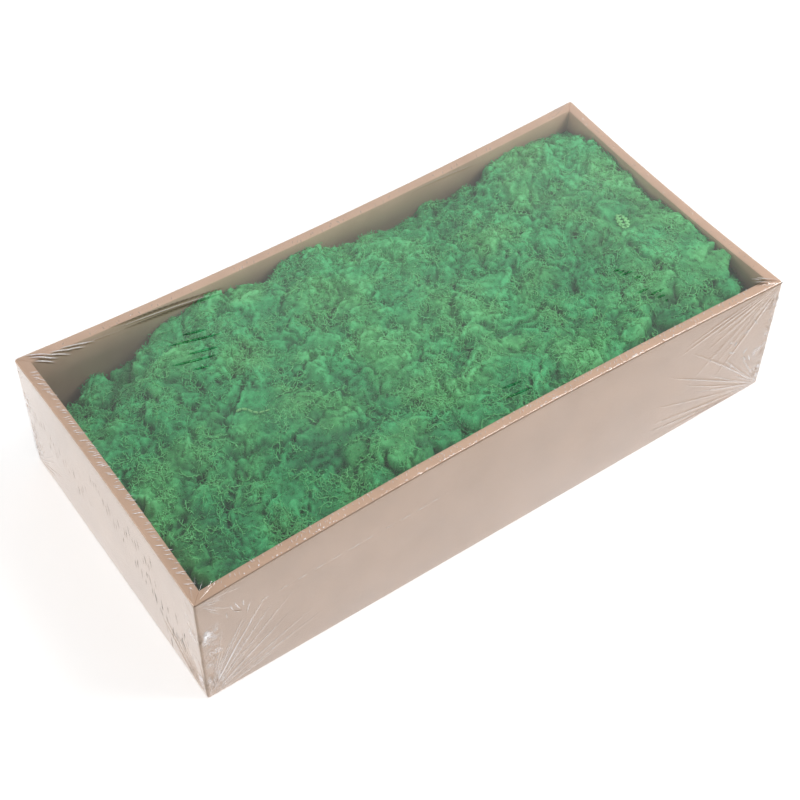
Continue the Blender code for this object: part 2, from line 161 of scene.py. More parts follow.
# Lumps: smallest and largest radius, how close they stand as a share of their radii together, tries
LARGE_LUMPS = (0.0100, 0.0190, 0.62, 3000)
SMALL_LUMPS = (0.0050, 0.0090, 0.62, 5000)
SMALL_DROP = 0.0012
LUMP_SQUASH = 0.62
LUMP_INSIDE = 0.6
# Knobs on the lumps: how far apart, how far out of place, their radii and how deep their middles lie
KNOB_STEP = 0.0040
KNOB_SHIFT = 0.0016
KNOB_RADII = (0.0019, 0.0038)
KNOB_SINK = 0.55
KNOB_SQUASH = 0.90
# Size and amount of what bends the lumps out of round, and of the roughness laid over them
BENDS = ((0.0075, 0.0030), (0.0020, 0.0011))
ROUGHNESS = ((0.0055, 0.0008), (0.0020, 0.00045), (0.0009, 0.00022))
# How far a place stands above its surroundings, over a small and a large distance, to paint light on crests
# and shade in hollows
CRESTS = ((0.0020, 0.0019, 0.37), (0.0090, 0.0080, 0.30))
# Broad patches of painted light and shade, and how the painted light grows towards the right and the back
SHADE_PATCHES = ((0.0300, 0.055), (0.0140, 0.070), (0.0045, 0.030))
SHADE_SLOPE = (0.045, 0.048)
SHADE_FLOOR = 0.235
BED_SEED = 21
CLUMP_SEED = 500
# Round a loose bit: the room beside it, how far the moss rises over its underside and how steeply away
# from it, and a fine ripple's height and quickness
BIT_ROOM = 0.001
BIT_RISE = 0.0003
BIT_SLOPE = 0.004
BIT_RIPPLE = 0.00002
BIT_RIPPLE_RATE = 9000
# Sprigs and their side shoots. Taper is by steps, painted light is added at the root and gained by the tip,
# and tones are the span of paleness
SPRIGS_PER_AREA = 160000
SPRIG_STEP = (0.00080, 0.00135)
SPRIG_LEAN = 0.80
SPRIG_SINK = 0.0005
SPRIG_RADIUS = 0.00027
SPRIG_TAPER = (1.0, 0.95, 0.8, 0.0)
SPRIG_LIGHT = 0.03
SPRIG_GAIN = 0.26
SPRIG_TONES = (0.0, 0.5)
SHOOT_RADIUS = 0.00023
SHOOT_TAPER = (1.0, 0.85, 0.0)
SHOOT_LIGHT = 0.17
SHOOT_GAIN = 0.24
SHOOT_AHEAD = 0.6
SHOOT_ASIDE = 0.8
SHOOT_STEP = 0.75
CURL = 0.50
# Strings: how many of each clump's lie in nests and how many alone, and how far a nest spreads
NESTS = 5
NEST_STRINGS = 12
NEST_SPREAD = 0.0040
LONE_STRINGS = 23
STRING_POINTS = 10
STRING_STEP = 0.0013
STRING_CURL = 0.30
STRING_RADIUS = 0.00038
STRING_TIP = 0.6
STRING_LIE = 0.0008
STRING_LIE_SHARES = (0.2, 1.8)
STRING_LIGHT = (0.78, 1.0)
STRING_TONES = (0.3, 0.9)
STRING_FORKS = 4
FORK_POINTS = 4
FORK_AHEAD = 0.55
FORK_SPREAD = 0.2
FORK_STEP = (0.5, 0.9)
FORK_RADIUS = 0.8

# Film, in millimetres: how far it lies from the tray, how far folds may lift it, its edge radius
REST = 0.35
UNDER = 0.6
FILM_LOW = TRAY_LOW / MM - np.array([REST, REST, UNDER])
FILM_HIGH = TRAY_HIGH / MM + REST
FILM_SEED = 77
LIFT = 0.33
SINK = -0.15
# The haze mark's span: above zero milky haze and painted highlight, below zero painted shade
HAZE_SPAN = (-0.85, 0.9)
EDGE = 1.3
EDGE_TURNS = (0.0, 11.25, 22.5, 33.75, 45.0)
EDGE_STEP = 2.0
GRID_STEP = 5.0
GRID_JITTER = 1.2
CREASE_STEP = 3.0
MARGIN = 0.3
JOIN_GAP = 1e-4
WELD_GAP = 1e-6
# Rows along a fold, as shares of its half width, and which of them are its feet
CREASE_ROWS = (-1.7, -1, 0, 1, 1.7)
FEET = (1, 3)
# Crumples at the upright edges: how far they reach, how they fade in at the edge, the sizes of what
# shapes them, and the amounts of painted highlight, painted shade and milk
KNOT_REACH = 14.0
KNOT_EDGE = 4.0
KNOT_STEP = 0.95
KNOT_JITTER = 0.3
KNOT_START = 0.6
KNOT_GAP = 0.8
KNOT_SIZE = 2.6
KNOT_FINE_SIZE = 1.2
KNOT_FOLD = 2.4
KNOT_FINE_FOLD = 0.8
KNOT_PATCH = 4.6
KNOT_GAIN = 1.6
# Where the crumples lie: the size of their groups, how much is covered and how sharply that changes
KNOT_GROUP = 16
KNOT_COVER = 0.55
KNOT_COVER_GAIN = 1.6
# How quickly they fade towards the bottom and the top
KNOT_LOW_FADE = 6
KNOT_HIGH_FADE = 7
KNOT_PAINTED_HIGHLIGHT = 1.15
KNOT_PAINTED_HIGHLIGHT_START = 0.04
KNOT_PAINTED_SHADE = 0.62
KNOT_PAINTED_SHADE_GAIN = 4.5
KNOT_MILK = 0.10
WAVE_SIZE = 38.0
WAVE_LIFT = 0.07
SHARP_ANGLE = math.radians(14)
SLIT_WIDTH = 0.9
LIP_WIDTH = 0.5
LIP_LIFT = 0.28
# Painted shade on the slits' lips, so the slits read dark
LIP_PAINTED_SHADE = -0.85
# Folds narrower than this are milky all over, wider ones get painted shade on one side
NARROW = 0.55
PAINTED_SHADE_FLANK = 0.80
# Painted shade along the front's top edge and along the two front upright edges, and how wide
FRONT_EDGE_PAINTED_SHADE = -0.50
FRONT_EDGE_PAINTED_SHADE_WIDTH = 1.1
UPRIGHT_PAINTED_SHADE = 0.42
UPRIGHT_PAINTED_SHADE_WIDTH = 1.6
# Extra haze towards the right end of the top: film milkiness and painted reflection of the sky
END_HAZE_AND_REFLECTION = 0.026
END_HAZE_AND_REFLECTION_REACH = 120.0
# A fan's folds: where each lies in its share of the angle, how far out it starts, its bend by its
# length, and how its lift and haze vary
FAN_PLACES = (0.15, 0.85)
FAN_START = (2.0, 9.0)
FAN_BEND = 0.02
FAN_LIFTS = (0.5, 1.0)
FAN_HAZES = (0.4, 1)
STROKE_BEND = 0.4
WIDTH_SPREAD = (0.7, 1.3)
# Fans on the long sides, the short sides and the top: the corner as shares of the face, the two angles,
# number, lengths, half width, lift and haze, which adds painted highlight above zero and painted shade below
LONG_FANS = (
    ((0, 0), (12, 80), 16, (26, 88), 1.00, 0.30, 0.24),
    ((0, 0), (20, 74), 9, (20, 60), 0.45, 0.30, 0.22),
    ((1, 0), (178, 118), 14, (30, 105), 1.10, 0.32, 0.24),
    ((1, 0), (176, 130), 7, (20, 70), 0.45, 0.32, 0.20),
    ((0, 1), (-8, -60), 7, (10, 34), 0.9, 0.30, 0.20),
    ((1, 1), (188, 236), 9, (26, 80), 1.7, 0.33, 0.12),
)
SHORT_FANS = (
    ((0, 0), (20, 84), 10, (16, 46), 0.7, 0.28, 0.10),
    ((1, 0), (160, 96), 10, (16, 46), 0.7, 0.28, 0.10),
)
TOP_FANS = (
    ((1, 0), (166, 128), 8, (5, 12), 0.42, 0.33, 0.50),
    ((1, 0), (163, 132), 7, (6, 14), 0.46, 0.20, -0.55),
    ((1, 1), (184, 200), 4, (10, 26), 0.45, 0.26, 0.20),
    ((0, 0), (10, 78), 5, (6, 14), 0.45, 0.26, 0.15),
)
# A row of dashes on the long sides: first, last and step, level, its unevenness, lengths, rise, and
# half width, lift and haze, here painted highlight
DASH_PLACES = (38, 150, 11.0)
DASH_LEVEL = 0.69
DASH_UNEVEN = 0.2
DASH_LENGTHS = (5, 10)
DASH_RISE = 0.2
DASH_SHAPE = (0.35, 0.24, 0.24)
# Marks on the long sides: number, span along, where below zero counts back from the far end, span up,
# angle and its spread, lengths, half width, lift and haze, here painted highlight
LONG_MARKS = (
    (7, (16, 34), (50, 76), (75, 25), (4, 10), 0.55, 0.30, 0.30),
    (9, (-34, -10), (30, 66), (110, 40), (3, 9), 0.6, 0.32, 0.50),
)
# Upright marks on the short sides: each row's first place, level, spread, number and darkness
MARK_ROWS = (
    (12, 48, 9, 8, 0.28), (36, 44, 8, 13, 0.28), (84, 66, 7, 7, 0.28), (104, 62, 10, 15, 0.38),
    (130, 45, 9, 9, 0.44), (148, 38, 12, 12, 0.48), (156, 18, 11, 11, 0.42),
)
MARK_PITCH = 3.4
MARK_JITTER = 0.8
MARK_SHAPE = ((90, 3), (6, 12), 0.58, 0.05)
MARK_HAZE = -1.4
MARK_HAZES = (0.5, 1)
# Ticks across the rims: room at both ends, pitch and jitter, then rows of chance, depths, where below
# zero counts back from the far rim, angle and its spread, lengths, half width, lift and haze, here painted
# highlight
LONG_RIM = (14, 14, 2.1, 2)
LONG_RIM_TICKS = (
    (0.72, (3.15, 6.3), (70, 22), (1.6, 3.4), 0.32, 0.24, 0.28),
    (0.34, (1.0, 1.7), (0, 12), (0.8, 2.2), 0.34, 0.28, 0.7),
    (0.22, (-7.0, -4.2), (75, 20), (1.4, 3.0), 0.34, 0.24, 0.18),
)
SHORT_RIM = (10, 14, 1.7, 1.5)
SHORT_RIM_TICKS = (
    (0.80, (3.5, 6.3), (-28, 13), (2.6, 5.6), 0.29, 0.28, 0.55),
    (0.25, (-6.3, -3.5), (0, 20), (1.4, 3.0), 0.34, 0.24, 0.15),
)
# Streaks of painted highlight by the back left corner, each with a streak of painted shade beside it: start
# and end, across and down
CORNER_STREAKS = (
    ((6.3, 1.5), (19.0, 8.1)), ((7.5, 4.2), (17.5, 10.2)), ((9.4, 6.4), (21.3, 13.4)),
    ((8.5, 8.0), (18.2, 15.3)), ((15.8, 7.1), (28.4, 14.5)), ((19.0, 6.4), (31.5, 12.0)),
    ((24.6, 6.6), (44.4, 12.5)), ((27.0, 9.8), (37.5, 13.4)),
)
PAINTED_HIGHLIGHT_STREAK_SHAPE = (0.4, 0.48, 0.33, 0.62)
PAINTED_SHADE_STREAK_SHAPE = (0.4, 0.50, 0.10, -0.55)
PAINTED_SHADE_STREAK_SHIFT = np.array([-0.45, -0.95])
PAINTED_SHADE_STREAK_SPREAD = 1.2
# Long folds by the back rim: start and end as above, bend, half width, lift and haze, painted shade below
# zero and painted highlight above
LONG_FOLDS = (
    ((54, 7.4), (127, 15.0), 0.8, 1.2, 0.25, -0.62),
    ((58, 10.2), (120, 17.0), 0.8, 1.1, 0.33, 0.22),
    ((60, 12.8), (126, 18.9), 0.8, 1.1, 0.25, -0.62),
    ((30, 11.5), (64, 13.5), 0.6, 0.7, 0.26, 0.05),
    ((262, 9.5), (318, 13.0), 0.8, 0.8, 0.28, 0.08),
)
# Vent slits in the top, in metres: each group's angle, then the middle and length of each slit
SLIT_GROUPS = (
    (-15.0, ((-0.1064, 0.0627, 0.0155), (-0.1093, 0.0573, 0.0315), (-0.1096, 0.0472, 0.0196),
             (-0.1175, 0.0432, 0.0275), (-0.1172, 0.0361, 0.0101))),
    (-8.0, ((0.1264, -0.0384, 0.0051), (0.1274, -0.0411, 0.0045), (0.1295, -0.0438, 0.0092),
            (0.1324, -0.0502, 0.0050))),
    (-5.0, ((0.1277, -0.0607, 0.0084), (0.1337, -0.0662, 0.0102), (0.1336, -0.0704, 0.0062),
            (0.1339, -0.0750, 0.0025))),
    (-6.0, ((0.0197, -0.0771, 0.0133), (0.0191, -0.0842, 0.0181))),
)
# Faces of the film's box: the corner each starts from, its two directions, and its own haze at the start and
# the end of the second direction, film milkiness whose change along the face is painted reflection
FACES = {
    "front": ((-1, -1, -1), (1, 0, 0), (0, 0, 1), (0.11, 0.045)),
    "right": ((1, -1, -1), (0, 1, 0), (0, 0, 1), (0.12, 0.06)),
    "back": ((1, 1, -1), (-1, 0, 0), (0, 0, 1), (0.12, 0.08)),
    "left": ((-1, 1, -1), (0, -1, 0), (0, 0, 1), (0.03, 0.02)),
    "top": ((-1, -1, 1), (1, 0, 0), (0, 1, 0), (0.010, 0.022)),
    "bottom": ((-1, 1, -1), (1, 0, 0), (0, -1, 0), (0.10, 0.10)),
}

# A fold in the film: its ends on the flat face, its sideways bend, half width, lift and added haze, which
# above zero is milk and painted highlight and below zero painted shade
Crease = namedtuple("Crease", "start end bend half_width lift haze")


def bowed(points):
    """Leans the points of a straight box in, as the film pulls the walls."""
    x, y, z = points[:, 0], points[:, 1], points[:, 2]
    level = np.clip((z - TRAY_LOW[2]) / HEIGHT, 0, 1) ** BOW_POWER
    along_x = np.clip(x / HALF_LENGTH, -1, 1)
    along_y = np.clip(y / HALF_WIDTH, -1, 1)
    front, left = (1 - along_y) / 2, (1 - along_x) / 2
    lean_y = (BOW["front"] * front - BOW["back"] * (1 - front)) * (1 - along_x**2) * level
    lean_x = (BOW["left"] * left - BOW["right"] * (1 - left)) * (1 - along_y**2) * level
    return np.stack([x + lean_x, y + lean_y, z], axis=1)


def unit(vectors):
    return vectors / np.maximum(np.linalg.norm(vectors, axis=-1, keepdims=True), 1e-12)


def placed(name, data):
    """A new object in the scene."""
    piece = bpy.data.objects.new(name, data)
    bpy.context.scene.collection.objects.link(piece)
    return piece


def add_piece(name, points, triangles, mat, nodes, values=None):
    """A mesh piece on the tray's body that stands for CAD nodes. values are kept per point or triangle."""
    mesh = bpy.data.meshes.new(name)
    mesh.vertices.add(len(points))
    mesh.vertices.foreach_set("co", np.asarray(points, np.float32).ravel())
    mesh.loops.add(3 * len(triangles))
    mesh.loops.foreach_set("vertex_index", np.asarray(triangles, np.int32).ravel())
    mesh.polygons.add(len(triangles))
    mesh.polygons.foreach_set("loop_start", np.arange(0, 3 * len(triangles), 3, dtype=np.int32))
    mesh.update(calc_edges=True)
    mesh.shade_smooth()
    for key, numbers in (values or {}).items():
        domain = "POINT" if len(numbers) == len(points) else "FACE"
        mesh.attributes.new(key, "FLOAT", domain).data.foreach_set("value", np.float32(numbers))
    mesh.materials.append(mat)
    piece = placed(name, mesh)
    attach(piece, "root")
    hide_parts(*nodes)
    return piece


# Materials


class Nodes:
    """A material's node tree, with short calls for the nodes that the materials share."""

    def __init__(self, name):
        self.material = bpy.data.materials.new(name)
        self.material.use_nodes = True
        self.tree = self.material.node_tree
        self.tree.nodes.clear()
        self.output = self.add("ShaderNodeOutputMaterial")
        self.place = self.add("ShaderNodeTexCoord").outputs["Object"]

    def add(self, kind, **inputs):
        node = self.tree.nodes.new(kind)
        for key, value in inputs.items():
            self.set(node.inputs[key.replace("_", " ")], value)
        return node

    def set(self, socket, value):
        if isinstance(value, bpy.types.NodeSocket):
            self.tree.links.new(value, socket)
        else:
            socket.default_value = value

    def attribute(self, name):
        node = self.add("ShaderNodeAttribute")
        node.attribute_name = name
        return node.outputs["Fac"]

    def noise(self, scale, detail=3.0, stretch=(1, 1, 1), roughness=0.55):
        place = self.add("ShaderNodeMapping", Vector=self.place, Scale=stretch)
        node = self.add("ShaderNodeTexNoise", Vector=place.outputs[0], Scale=scale, Detail=detail)
        node.inputs["Roughness"].default_value = roughness
        return node.outputs["Fac"]

    def math(self, operation, a, b=0.0, clamp=False):
        node = self.add("ShaderNodeMath")
        node.operation = operation
        node.use_clamp = clamp
        self.set(node.inputs[0], a)
        self.set(node.inputs[1], b)
        return node.outputs[0]

    def span(self, value, low, high, to_low=0.0, to_high=1.0):
        """Value mapped from low..high to to_low..to_high, and kept inside."""
        node = self.add("ShaderNodeMapRange")
        for key, number in zip(("Value", "From Min", "From Max", "To Min", "To Max"),
                               (value, low, high, to_low, to_high)):
            self.set(node.inputs[key], number)
        return node.outputs[0]

    def ramp(self, value, stops):
        node = self.add("ShaderNodeValToRGB", Fac=value)
        elements = node.color_ramp.elements
        while len(elements) < len(stops):
            elements.new(0.5)
        for element, (position, colour) in zip(elements, stops):
            element.position = position
            element.color = (*colour, 1.0)
        return node.outputs[0]

    def mix(self, share, a, b, blend="MIX"):
        node = self.add("ShaderNodeMix")
        node.data_type = "RGBA"
        node.blend_type = blend
        for socket, value in zip((node.inputs[0], node.inputs[6], node.inputs[7]), (share, a, b)):
            self.set(socket, (*value, 1.0) if isinstance(value, tuple) else value)
        return node.outputs[2]

    def blend(self, share, first, second):
        """Two shaders mixed."""
        node = self.add("ShaderNodeMixShader", Fac=share)
        self.set(node.inputs[1], first)
        self.set(node.inputs[2], second)
        return node.outputs[0]

    def bump(self, height, strength, distance):
        node = self.add("ShaderNodeBump", Height=height, Strength=strength, Distance=distance)
        return node.outputs[0]

    def finish(self, shader):
        self.set(self.output.inputs["Surface"], shader)
        return self.material

    def solid(self, **inputs):
        """The material, with a surface that doesn't let light through."""
        return self.finish(self.add("ShaderNodeBsdfPrincipled", **inputs).outputs[0])


def kraft_material():
    """Brown kraft board: soft mottling and short fibres, and painted light that makes it paler where it
    rolls over the rim.
    """
    nodes = Nodes("kraft_board")
    mottle = nodes.noise(38.0, detail=5.0)
    fibres = nodes.noise(900.0, detail=2.0, stretch=(0.3, 1, 1))
    flecks = nodes.noise(800.0, detail=1.0, stretch=(1, 0.4, 0.4))
    colour = nodes.ramp(mottle, BOARD_TONES)
    colour = nodes.mix(nodes.span(fibres, 0.55, 0.75, 0.0, 0.14), colour, FIBRE_COLOUR)
    colour = nodes.mix(nodes.span(flecks, 0.66, 0.78, 0.0, 0.20), colour, FLECK_COLOUR)
    # The rim attribute carries painted light: it pales the rim's top and the inside walls below it
    colour = nodes.mix(nodes.attribute("rim"), colour, RIM_PAINTED_LIGHT, "MULTIPLY")
    height = nodes.math("ADD", fibres, nodes.math("MULTIPLY", mottle, 0.6))
    rough = nodes.span(fibres, 0.3, 0.7, 0.72, 0.88)
    normal = nodes.bump(height, 0.03, 0.0002)
    return nodes.solid(Base_Color=colour, Roughness=rough, Normal=normal)


def moss_material():
    """Dyed reindeer moss: painted shade darkens it in the gaps and painted light brightens its crests, with
    paler yellow-green patches.
    """
    nodes = Nodes("moss")
    light, tone = nodes.attribute("light"), nodes.attribute("tone")
    patches = nodes.noise(24.0, detail=2.0)
    grain = nodes.noise(620.0, detail=3.0, roughness=0.7)
    light = nodes.math("ADD", light, nodes.span(grain, 0.3, 0.7, -0.11, 0.11), clamp=True)
    deep, pale = (nodes.ramp(light, list(zip(MOSS_STOPS, tones))) for tones in (MOSS_DEEP, MOSS_PALE))
    paleness = nodes.math("ADD", nodes.span(patches, 0.44, 0.62, 0.0, 0.75), tone)
    colour = nodes.mix(nodes.math("MINIMUM", paleness, 1.0), deep, pale)
    normal = nodes.bump(grain, 0.25, 0.0003)
    return nodes.solid(Base_Color=colour, Roughness=0.82, Normal=normal)


def film_material():
    """Clear shrink film: sees through, shines more at a slant, and has a thin milky haze. Its haze mark also
    paints highlights in milk, and painted shade that darkens what passes and dims the shine.
    """
    nodes = Nodes("clear_film")
    ripple = nodes.noise(60.0, detail=1.0)
    normal = nodes.bump(ripple, 0.11, 0.0012)
    mark = nodes.attribute("haze")
    # Below zero the haze mark is painted shade
    dark = nodes.math("MULTIPLY", mark, -1.0, clamp=True)
    slant = nodes.add("ShaderNodeLayerWeight", Blend=0.5, Normal=normal).outputs["Facing"]
    one_side = nodes.math("ADD", nodes.math("MULTIPLY", nodes.math("POWER", slant, 5.0), 0.96), 0.04)
    both_sides = nodes.math(
        "DIVIDE", nodes.math("MULTIPLY", one_side, 2.0), nodes.math("ADD", one_side, 1.0), clamp=True
    )
    both_sides = nodes.math("MULTIPLY", both_sides, nodes.math("SUBTRACT", 1.0, dark))
    gloss = nodes.add("ShaderNodeBsdfGlossy", Color=(1, 1, 1, 1), Roughness=0.07, Normal=normal)
    passed = nodes.mix(dark, (1.0, 1.0, 1.0), FILM_PAINTED_SHADE)
    clear = nodes.add("ShaderNodeBsdfTransparent", Color=passed)
    shine = nodes.blend(both_sides, clear.outputs[0], gloss.outputs[0])
    cloudy = nodes.noise(26.0, detail=4.0)
    haze = nodes.math("MULTIPLY", mark, nodes.span(cloudy, 0.3, 0.7, 0.75, 1.25), clamp=True)
    milk_and_painted_highlight = nodes.add("ShaderNodeBsdfDiffuse", Color=FILM_MILK_AND_PAINTED_HIGHLIGHT)
    return nodes.finish(nodes.blend(haze, shine, milk_and_painted_highlight.outputs[0]))


def bit_material(name, dark, light):
    """A dry leaf or stem: two mottled tones."""
    nodes = Nodes(name)
    grain = nodes.noise(700.0, detail=3.0)
    colour = nodes.ramp(grain, ((0.35, dark), (0.7, light)))
    normal = nodes.bump(grain, 0.3, 0.0002)
    return nodes.solid(Base_Color=colour, Roughness=0.6, Normal=normal)


# Tray


def tray_profile():
    """The board's section as (inset, drop from the rim's top): up outside, over the rim, down inside."""
    diagonal = FOLD_RADIUS * (1 - math.sqrt(0.5))
    low = [HEIGHT - HEIGHT * share for share in WALL_ROWS]
    fold_up = [(0.0, FOLD_RADIUS), (diagonal, diagonal), (FOLD_RADIUS, 0.0)]
    groove = [(0.0, GROOVE_DROP + GROOVE_HALF), (GROOVE_DEPTH, GROOVE_DROP)]
    groove.append((0.0, GROOVE_DROP - GROOVE_HALF))
    rows = [(FOOT_INSET, HEIGHT), (0.0, HEIGHT - FOOT_RISE)]
    rows += [(0.0, drop) for drop in low] + groove + fold_up
    rows += [(RIM * share, 0.0) for share in RIM_ROWS]
    rows += [(RIM - side, drop) for side, drop in reversed(fold_up)]
    rows += [(RIM, drop) for drop in reversed(low)]
    floor = HEIGHT - BOARD
    rows += [(RIM, floor - FLAP_GAP), (RIM - BOARD, floor - FLAP_GAP)]
    rows += [(RIM - BOARD, BOARD), (BOARD, BOARD), (BOARD, floor)]
    return rows


def side_steps(half):
    """How far along a side its points lie, from the corner it starts at and short of its end."""
    length = 2 * half
    near = list(CORNER_STEPS)
    count = round((length - 2 * near[-1]) / TRAY_STEP)
    middle = list(np.linspace(near[-1], length - near[-1], count + 1))[1:]
    return np.array(near + middle + [length - step for step in reversed(near[1:-1])])


def tray_ring(inset):
    """Points round the tray at an inset, with rounded corners, and how near each is to a mitre."""
    along, nearness = [], []
    for turn in range(4):
        half, other = (HALF_WIDTH, HALF_LENGTH) if turn % 2 else (HALF_LENGTH, HALF_WIDTH)
        steps = side_steps(half)
        share = steps / half - 1
        x, y = share * (half - inset), np.full(len(steps), inset - other)
        for _ in range(turn):
            x, y = -y, x
        along.append(np.stack([x, y], axis=1))
        nearness.append((steps == 0).astype(float))
    flat = np.concatenate(along)
    radius = max(CORNER_RADIUS - inset * CORNER_TIGHTENS, LEAST_RADIUS)
    limit = np.array([HALF_LENGTH - inset - radius, HALF_WIDTH - inset - radius])
    inner = np.clip(flat, -limit, limit)
    corner = np.all(np.abs(flat) > limit, axis=1)
    flat[corner] = inner[corner] + radius * unit(flat - inner)[corner]
    return flat, np.concatenate(nearness)


def make_tray(mat):
    rows, points, paleness = tray_profile(), [], []
    for inset, drop in rows:
        flat, mitre = tray_ring(inset)
        z = np.full(len(flat), TRAY_HIGH[2] - drop)
        if drop < FOLD_RADIUS:
            z -= mitre * MITRE_DEPTH
            waves = [noise.noise(Vector((*p * RIM_WAVES, inset * INSET_WAVES))) for p in flat]
            z -= [RIM_UNEVEN * (0.5 + wave) for wave in waves]
        points.append(np.column_stack([flat, z]))
        # Painted light on the rim's top, fading down the inside walls and weaker towards the left end
        pale = max(0.0, 1 - drop / RIM_FADE) if inset >= RIM else float(drop < FOLD_RADIUS)
        ends = (-HALF_LENGTH, LEFT_RIM_PAINTED_LIGHT_END * HALF_LENGTH)
        paleness.append(pale * np.interp(flat[:, 0], ends, (LEFT_RIM_PAINTED_LIGHT, 1.0)))
    count = len(points[0])
    here = np.arange(count)
    beside = (here + 1) % count
    triangles = []
    for row in range(len(rows) - 1):
        low, high = row * count, (row + 1) * count
        triangles.append(np.stack([low + here, low + beside, high + beside], axis=1))
        triangles.append(np.stack([low + here, high + beside, high + here], axis=1))
    last = (len(rows) - 1) * count
    middle = len(rows) * count
    triangles.append(np.stack([beside, here, np.full(count, middle)], axis=1))
    triangles.append(np.stack([last + here, last + beside, np.full(count, middle + 1)], axis=1))
    points += [np.array([[0, 0, TRAY_LOW[2]]]), np.array([[0, 0, TRAY_LOW[2] + BOARD]])]
    paleness.append(np.zeros(2))
    piece = add_piece(
        "kraft_tray", bowed(np.concatenate(points)), np.concatenate(triangles), mat,
        ["tray"], {"rim": np.concatenate(paleness)},
    )
    piece.data.set_sharp_from_angle(angle=FOLD_ANGLE)
    return piece


# Moss


def moss_level(x, y):
    """Height of the moss bed at points inside the tray."""
    length, width = INSIDE
    room = {"front": width + y, "right": length - x, "back": width - y, "left": length + x}
    low = sum(drop * np.exp(-((room[side] / size) ** 2)) for side, (drop, size) in WALL_DIPS.items())
    for hollow_x, hollow_y, depth, radius in HOLLOWS:
        low = low + depth * np.exp(-((x - hollow_x) ** 2 + (y - hollow_y) ** 2) / radius**2)
    return TRAY_LOW[2] + MOSS_TOP - low


def throw_lumps(draw, taken, smallest, largest, closeness, tries):
    """Adds rows of x, y and radius at random places that keep clear of those already taken."""
    rows = list(taken)
    for _ in range(tries):
        radius = draw.uniform(smallest, largest)
        room = INSIDE - LUMP_INSIDE * radius
        spot = draw.uniform(-room, room)
        known = np.array(rows).reshape(-1, 3)
        apart = np.hypot(known[:, 0] - spot[0], known[:, 1] - spot[1])
        if np.all(apart > closeness * (known[:, 2] + radius)):
            rows.append((*spot, radius))
    return rows


class Grid:
    """A regular grid over the inside of the tray, and what shapes a surface on it."""

    def __init__(self, draw):
        self.draw = draw
        self.reach = INSIDE - WALL_CLEAR
        self.lines = [np.linspace(-half, half, round(2 * half / BED_STEP) + 1) for half in self.reach]
        self.x, self.y = np.meshgrid(*self.lines, indexing="ij")
        flat = (self.x, self.y)
        self.bent = [line + sum(amount * self.field(size) for size, amount in BENDS) for line in flat]
        self.bend_most = max(np.abs(bent - line).max() for bent, line in zip(self.bent, flat))

    def smooth(self, values, size):
        """The values blurred over a distance."""
        margin = round(BLUR_REACH * size / BED_STEP)
        wide = np.pad(values, margin, mode="reflect")
        across = np.fft.fftfreq(wide.shape[0], BED_STEP)[:, None]
        along = np.fft.rfftfreq(wide.shape[1], BED_STEP)
        damping = np.exp(-2 * (np.pi * size) ** 2 * (across**2 + along**2))
        blurred = np.fft.irfft2(np.fft.rfft2(wide) * damping, wide.shape)
        return blurred[margin:-margin, margin:-margin]

    def field(self, size):
        """A random field whose humps are about so large, of spread 1."""
        field = self.smooth(self.draw.normal(size=self.x.shape), size)
        return field / field.std()

    def read(self, values, places):
        """The values at the grid points nearest to places."""
        index = [
            np.clip(np.round((places[..., axis] + self.reach[axis]) / BED_STEP).astype(int), 0, size - 1)
            for axis, size in enumerate(values.shape)
        ]
        return values[index[0], index[1]]

    def raise_domes(self, bed, domes, squash):
        """Lifts a bed to the top of each dome, given as rows of x, y, height of the middle and radius."""
        for x, y, middle, radius in domes:
            window = tuple(
                slice(*np.searchsorted(line, (at - radius - self.bend_most, at + radius + self.bend_most)))
                for line, at in zip(self.lines, (x, y))
            )
            room = radius**2 - (self.bent[0][window] - x) ** 2 - (self.bent[1][window] - y) ** 2
            dome_top = np.where(room > 0, middle + squash * np.sqrt(np.maximum(room, 0)), bed[window])
            bed[window] = np.maximum(bed[window], dome_top)


def moss_bed(grid):
    """The height of the bed's surface, and its painted light from 0 to 1: shade in hollows, light on crests.
    """
    draw = grid.draw
    bed = moss_level(grid.x, grid.y) - HOLE_DEPTH
    large = throw_lumps(draw, [], *LARGE_LUMPS)
    x, y, radius = np.array(throw_lumps(draw, large, *SMALL_LUMPS)).T
    swell = [noise.noise(Vector((a / SWELL_SIZE, b / SWELL_SIZE, SWELL_SLICE))) for a, b in zip(x, y)]
    top = moss_level(x, y) + SWELL_RISE * np.array(swell) + draw.uniform(-LUMP_RISE, LUMP_RISE, len(x))
    top[len(large):] -= SMALL_DROP
    grid.raise_domes(bed, np.column_stack([x, y, top - LUMP_SQUASH * radius, radius]), LUMP_SQUASH)

    lines = (np.arange(-half, half, KNOB_STEP) for half in grid.reach)
    spots = np.stack(np.meshgrid(*lines, indexing="ij"), axis=-1).reshape(-1, 2)
    spots += draw.uniform(-KNOB_SHIFT, KNOB_SHIFT, spots.shape)
    radius = draw.uniform(*KNOB_RADII, len(spots))
    middle = grid.read(bed, spots) - KNOB_SINK * radius
    grid.raise_domes(bed, np.column_stack([spots, middle, radius]), KNOB_SQUASH)

    bed = bed + sum(amount * grid.field(size) for size, amount in ROUGHNESS)
    light = SHADE_FLOOR + sum(amount * grid.field(size) for size, amount in SHADE_PATCHES)
    light = light + SHADE_SLOPE[0] * grid.x / HALF_LENGTH + SHADE_SLOPE[1] * grid.y / HALF_WIDTH
    for size, span, share in CRESTS:
        light = light + share * np.clip(0.5 + (bed - grid.smooth(bed, size)) / span, 0, 1)
    return bed, light


